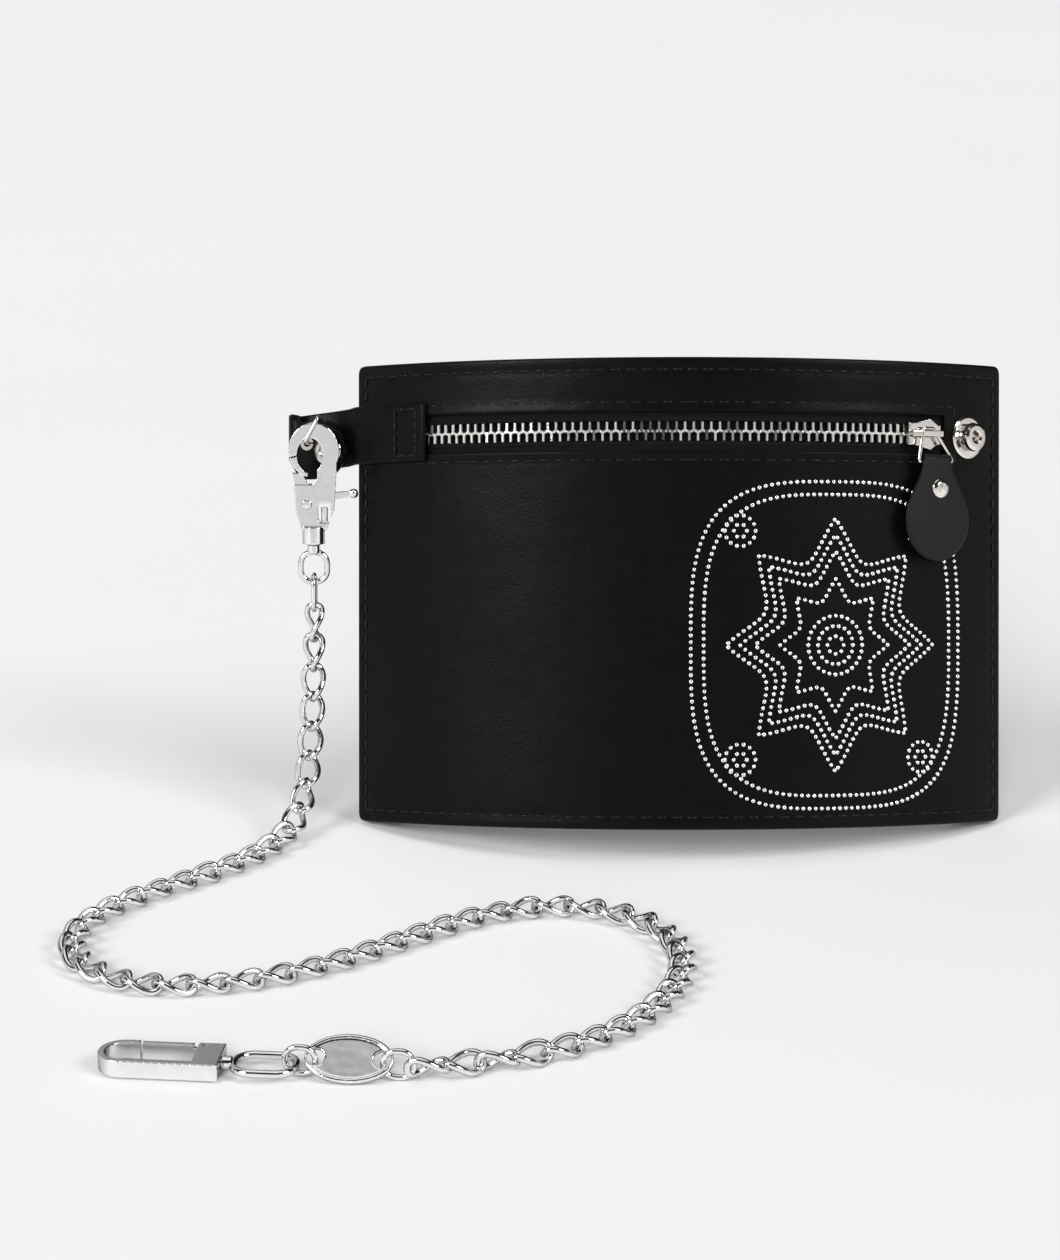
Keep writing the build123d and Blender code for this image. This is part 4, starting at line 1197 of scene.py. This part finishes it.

# %% [markdown]
# ## The chain
# A curb chain's links are twisted, so that they lie flat and nest like rope. A link is a ring of wire whose
# two ends are turned opposite ways about the chain's line. The chain's course is a smooth line through
# listed points: down from the hook, on to the ground, and round two loose bends to the tag.

# %% Chain course
lie = 2.75
chain_points = [
    (-92.76, 14.45, 56.28), (-93.06, 10.85, 41.0), (-93.56, 4.95, 25.0), (-94.6, -5.6, 10.6),
    (-98.0, -18.5, 3.4),
    (-105.5, -34.0, lie), (-117.0, -47.5, lie), (-131.0, -60.5, lie), (-142.5, -74.0, lie),
    (-149.0, -89.5, lie), (-147.5, -105.5, lie), (-138.0, -118.5, lie), (-123.5, -124.5, lie),
    (-107.5, -123.0, lie), (-92.0, -117.0, lie), (-76.0, -106.0, lie), (-60.5, -91.5, lie),
    (-46.0, -79.0, lie), (-29.5, -71.0, lie), (-12.5, -73.5, lie), (0.0, -84.0, lie), (6.0, -99.0, lie),
    (6.5, -116.0, lie), (0.5, -134.5, lie), (-10.0, -150.0, lie), (-24.5, -161.5, lie),
    (-41.0, -168.5, lie), (-57.5, -173.3, 3.6),
]
course = smooth_line("chain_course", [tuple(c * mm for c in p) for p in chain_points])
lengths = [0.0]
for a, b in zip(course, course[1:]):
    lengths.append(lengths[-1] + (b - a).length)
print("chain course", round(lengths[-1] / mm, 1), "mm")


def course_at(distance):
    distance = min(max(distance, 0.0), lengths[-1])
    k = max(i for i, d in enumerate(lengths) if d <= distance)
    k = min(k, len(course) - 2)
    share = (distance - lengths[k]) / (lengths[k + 1] - lengths[k])
    return course[k].lerp(course[k + 1], share), (course[k + 1] - course[k]).normalized()


# %% Twisted links
link_long, link_wide, link_wire = 11.75 * mm, 7.5 * mm, 0.86 * mm


def twisted_link(twist=math.radians(66), around=30, sides=8):
    line = []
    for k in range(around):
        u = 2 * math.pi * k / around
        c, s = math.cos(u), math.sin(u)
        a = (link_long / 2 - link_wire) * math.copysign(abs(c) ** 0.86, c)
        b = (link_wide / 2 - link_wire) * math.copysign(abs(s) ** 0.86, s)
        turn = twist * a / (link_long / 2)
        line.append(Vector((a, b * math.cos(turn), b * math.sin(turn))))
    points, faces = [], []
    for k, place in enumerate(line):
        ahead = (line[(k + 1) % around] - line[k - 1]).normalized()
        one = ahead.cross(Vector((0, 0, 1))).normalized()
        two = ahead.cross(one)
        for m in range(sides):
            turn = 2 * math.pi * m / sides
            points.append(place + (one * math.cos(turn) + two * math.sin(turn)) * link_wire)
    for k in range(around):
        for m in range(sides):
            a, b = k * sides + m, k * sides + (m + 1) % sides
            c, d = ((k + 1) % around) * sides + (m + 1) % sides, ((k + 1) % around) * sides + m
            faces.append((a, b, c, d))
    piece = put(mesh_from("link_shape", points, faces), "link_shape")
    tidy(piece)
    return piece


link = twisted_link()
first_at, last_at = 2.2 * mm, lengths[-1] - 2.0 * mm
link_count = round((last_at - first_at) / (8.25 * mm)) + 1
link_step = (last_at - first_at) / (link_count - 1)
turns = {0: 62, 1: 48, 2: 14, 3: 4, 4: -4, 5: -12, 6: -34, 7: -26}
facing = Vector((0, -1, 0))
link_line = []
for k in range(link_count):
    place, ahead = course_at(first_at + k * link_step)
    facing = (facing - ahead * facing.dot(ahead)).normalized()
    if k > 8:
        level = (Vector((0, 0, 1)) - ahead * ahead.z).normalized()
        facing = facing.lerp(level, 0.35).normalized()
    roll = turns.get(k, 6 * math.sin(k * 1.9))
    if k > link_count - 5:
        roll = (34, -22, 30, -30)[link_count - 1 - k]
    link_line.append((place, Matrix.Rotation(math.radians(roll), 3, ahead) @ facing))
chain = set_along("chain_links", [link_line], link, link_step * 0.99999, chain_plate, math.radians(5), 0.0, 11)
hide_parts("chain")
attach(chain, "wallet_left")
tail_pieces = [frame["nodes"][n] for n in ("tag_link", "end_link", "clip_swivel", "clip_pin")]
tail_pieces += [bpy.data.objects[n] for n in ("cast_tag", "cast_clip_frame", "cast_clip_gate")]
tuple(course[0])
[tuple(p) for p in course]
print("chain:", link_count, "links,", len(chain.data.polygons), "faces")

# %% [markdown]
# ## Nailheads
# The right half carries an ornament of small domed nailheads: a plain geometric rosette in a rounded frame.
# One formula draws every closed line of it, and the repeating tree sets a dome at even steps along each.


# %% Dome and pattern lines
def dome_shape(radius=0.66 * mm, sides=8):
    points = []
    rings = ((1.0, -0.25), (1.0, 0.10), (0.80, 0.48), (0.42, 0.72))
    for share, level in rings:
        for k in range(sides):
            turn = 2 * math.pi * k / sides
            points.append((radius * share * math.cos(turn), radius * share * math.sin(turn), radius * level))
    piece = put(mesh_from("dome_shape", points, ring_faces(sides, len(rings))), "dome_shape")
    tidy(piece)
    return piece


dome = dome_shape()


def curve_line(rule, start=0.0, stop=1.0, count=40):
    """A line over the face from a rule that gives (along, high) in millimetres."""
    line = []
    for k in range(count + 1):
        a, h = rule(start + (stop - start) * k / count)
        a, h = a * mm, h * mm
        sink = float(cover_front(np.array([a]), np.array([h]))[0])
        line.append((on_wallet(a, h, 0.05 * mm - sink), outward(a)))
    return line


def closed_line(reach, petals=0, depth=0.0, square=1.0, middle=(42.0, 50.0)):
    """An oval line over the face: square below 1 fills its corners, and petals dip it by the depth."""

    def rule(t):
        turn = 2 * math.pi * t
        swell = 1 - depth * abs(math.sin(petals * turn / 2))
        c, s = math.cos(turn), math.sin(turn)
        across = reach[0] * swell * math.copysign(abs(c) ** square, c)
        rise = reach[1] * swell * math.copysign(abs(s) ** square, s)
        return middle[0] + across, middle[1] + rise

    return curve_line(rule, count=160)


pattern = [closed_line(reach, square=0.6) for reach in ((40.5, 44.5), (37.0, 41.0))]
pattern += [closed_line(reach, 8, 0.30) for reach in ((31.0, 34.5), (27.0, 30.0), (23.0, 25.5), (16.0, 18.0))]
pattern += [closed_line((reach, reach)) for reach in (8.0, 5.2, 2.4)]
for across in (15.0, 69.0):
    for rise in (19.0, 81.0):
        pattern += [closed_line((reach, reach), middle=(across, rise)) for reach in (4.2, 1.8)]

studs = set_along("metal_nailheads", pattern, dome, 1.78 * mm, stud_metal, 0.0, 0.06, 5)
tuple(fold_right_band[0])
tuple(fold_right_band[1])
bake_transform(studs)
print("nailheads:", len(studs.data.polygons) // 26)

# %% [markdown]
# ## Ground, sky and light
# The wallet stands on a plain pale ground. Polished metal shows whatever surrounds it, so the sky has a
# bright horizon, a small bright ceiling and darkness between them, darkest behind on the right: that draws
# the dark strokes that make plating read as plating. Two wide suns from the front light
# the ground evenly, and a third that metal doesn't mirror lightens the shade under the wallet.

# %% Ground and light
for shape in (stitch, tooth, link, dome):
    bpy.data.objects.remove(shape)

ground_mesh = mesh_from("ground", [(-40, -40, 0), (40, -40, 0), (40, 40, 0), (-40, 40, 0)], [(0, 1, 2, 3)])
ground = put(ground_mesh, "ground")
paper, paper_tree, paper_shader = blank_material("paper")
paper_tone = add_noise(paper_tree, pattern_place(paper_tree), 3.0, 2)
fill(paper_tree, paper_shader, {
    "Base Color": mix_colours(paper_tree, paper_tone, (0.84, 0.84, 0.84), (0.87, 0.87, 0.87)),
    "Roughness": 0.7,
    "Specular IOR Level": 0.2,
})
ground.data.materials.append(paper)

world = bpy.data.worlds.new("studio")
scene.world = world
world.use_nodes = True
sky = world.node_tree
direction = add_node(sky, "ShaderNodeTexCoord").outputs["Generated"]
way = add_node(sky, "ShaderNodeSeparateXYZ", {0: direction}).outputs
horizon = add_range(sky, way["Z"], 0.68, 0.02, 0.25, 0.38)
front = add_range(sky, way["Y"], 1.0, 0.0, 0.15, 0.40)
ceiling = add_range(sky, way["Z"], 0.0, 0.90, 0.86, 0.93)
behind = add_range(sky, way["Y"], 0.0, 0.60, 0.15, 0.40)
leftward = add_range(sky, way["X"], 1.0, 0.04, -0.16, 0.10)
shade = add_maths(sky, "ADD", add_maths(sky, "MULTIPLY", horizon, front),
                  add_maths(sky, "MULTIPLY", behind, leftward))
inputs = {"Color": (1, 1, 1, 1), "Strength": add_maths(sky, "MAXIMUM", shade, ceiling)}
fill(sky, sky.nodes["Background"], inputs)


def soft_sun(name, towards, angle, strength):
    data = bpy.data.lights.new(name, "SUN")
    data.angle = math.radians(angle)
    data.energy = strength
    lamp = put(data, name)
    lamp.rotation_euler = Vector(towards).to_track_quat("-Z", "Y").to_euler()
    return lamp


soft_sun("left_window", (0.663, 0.557, -0.56), 26, 1.72)
soft_sun("right_window", (-0.70, 0.42, -0.62), 26, 1.38)
fill = soft_sun("front_fill", (0.12, 0.90, -0.42), 20, 1.42)
fill.visible_glossy = False
print("lights made")
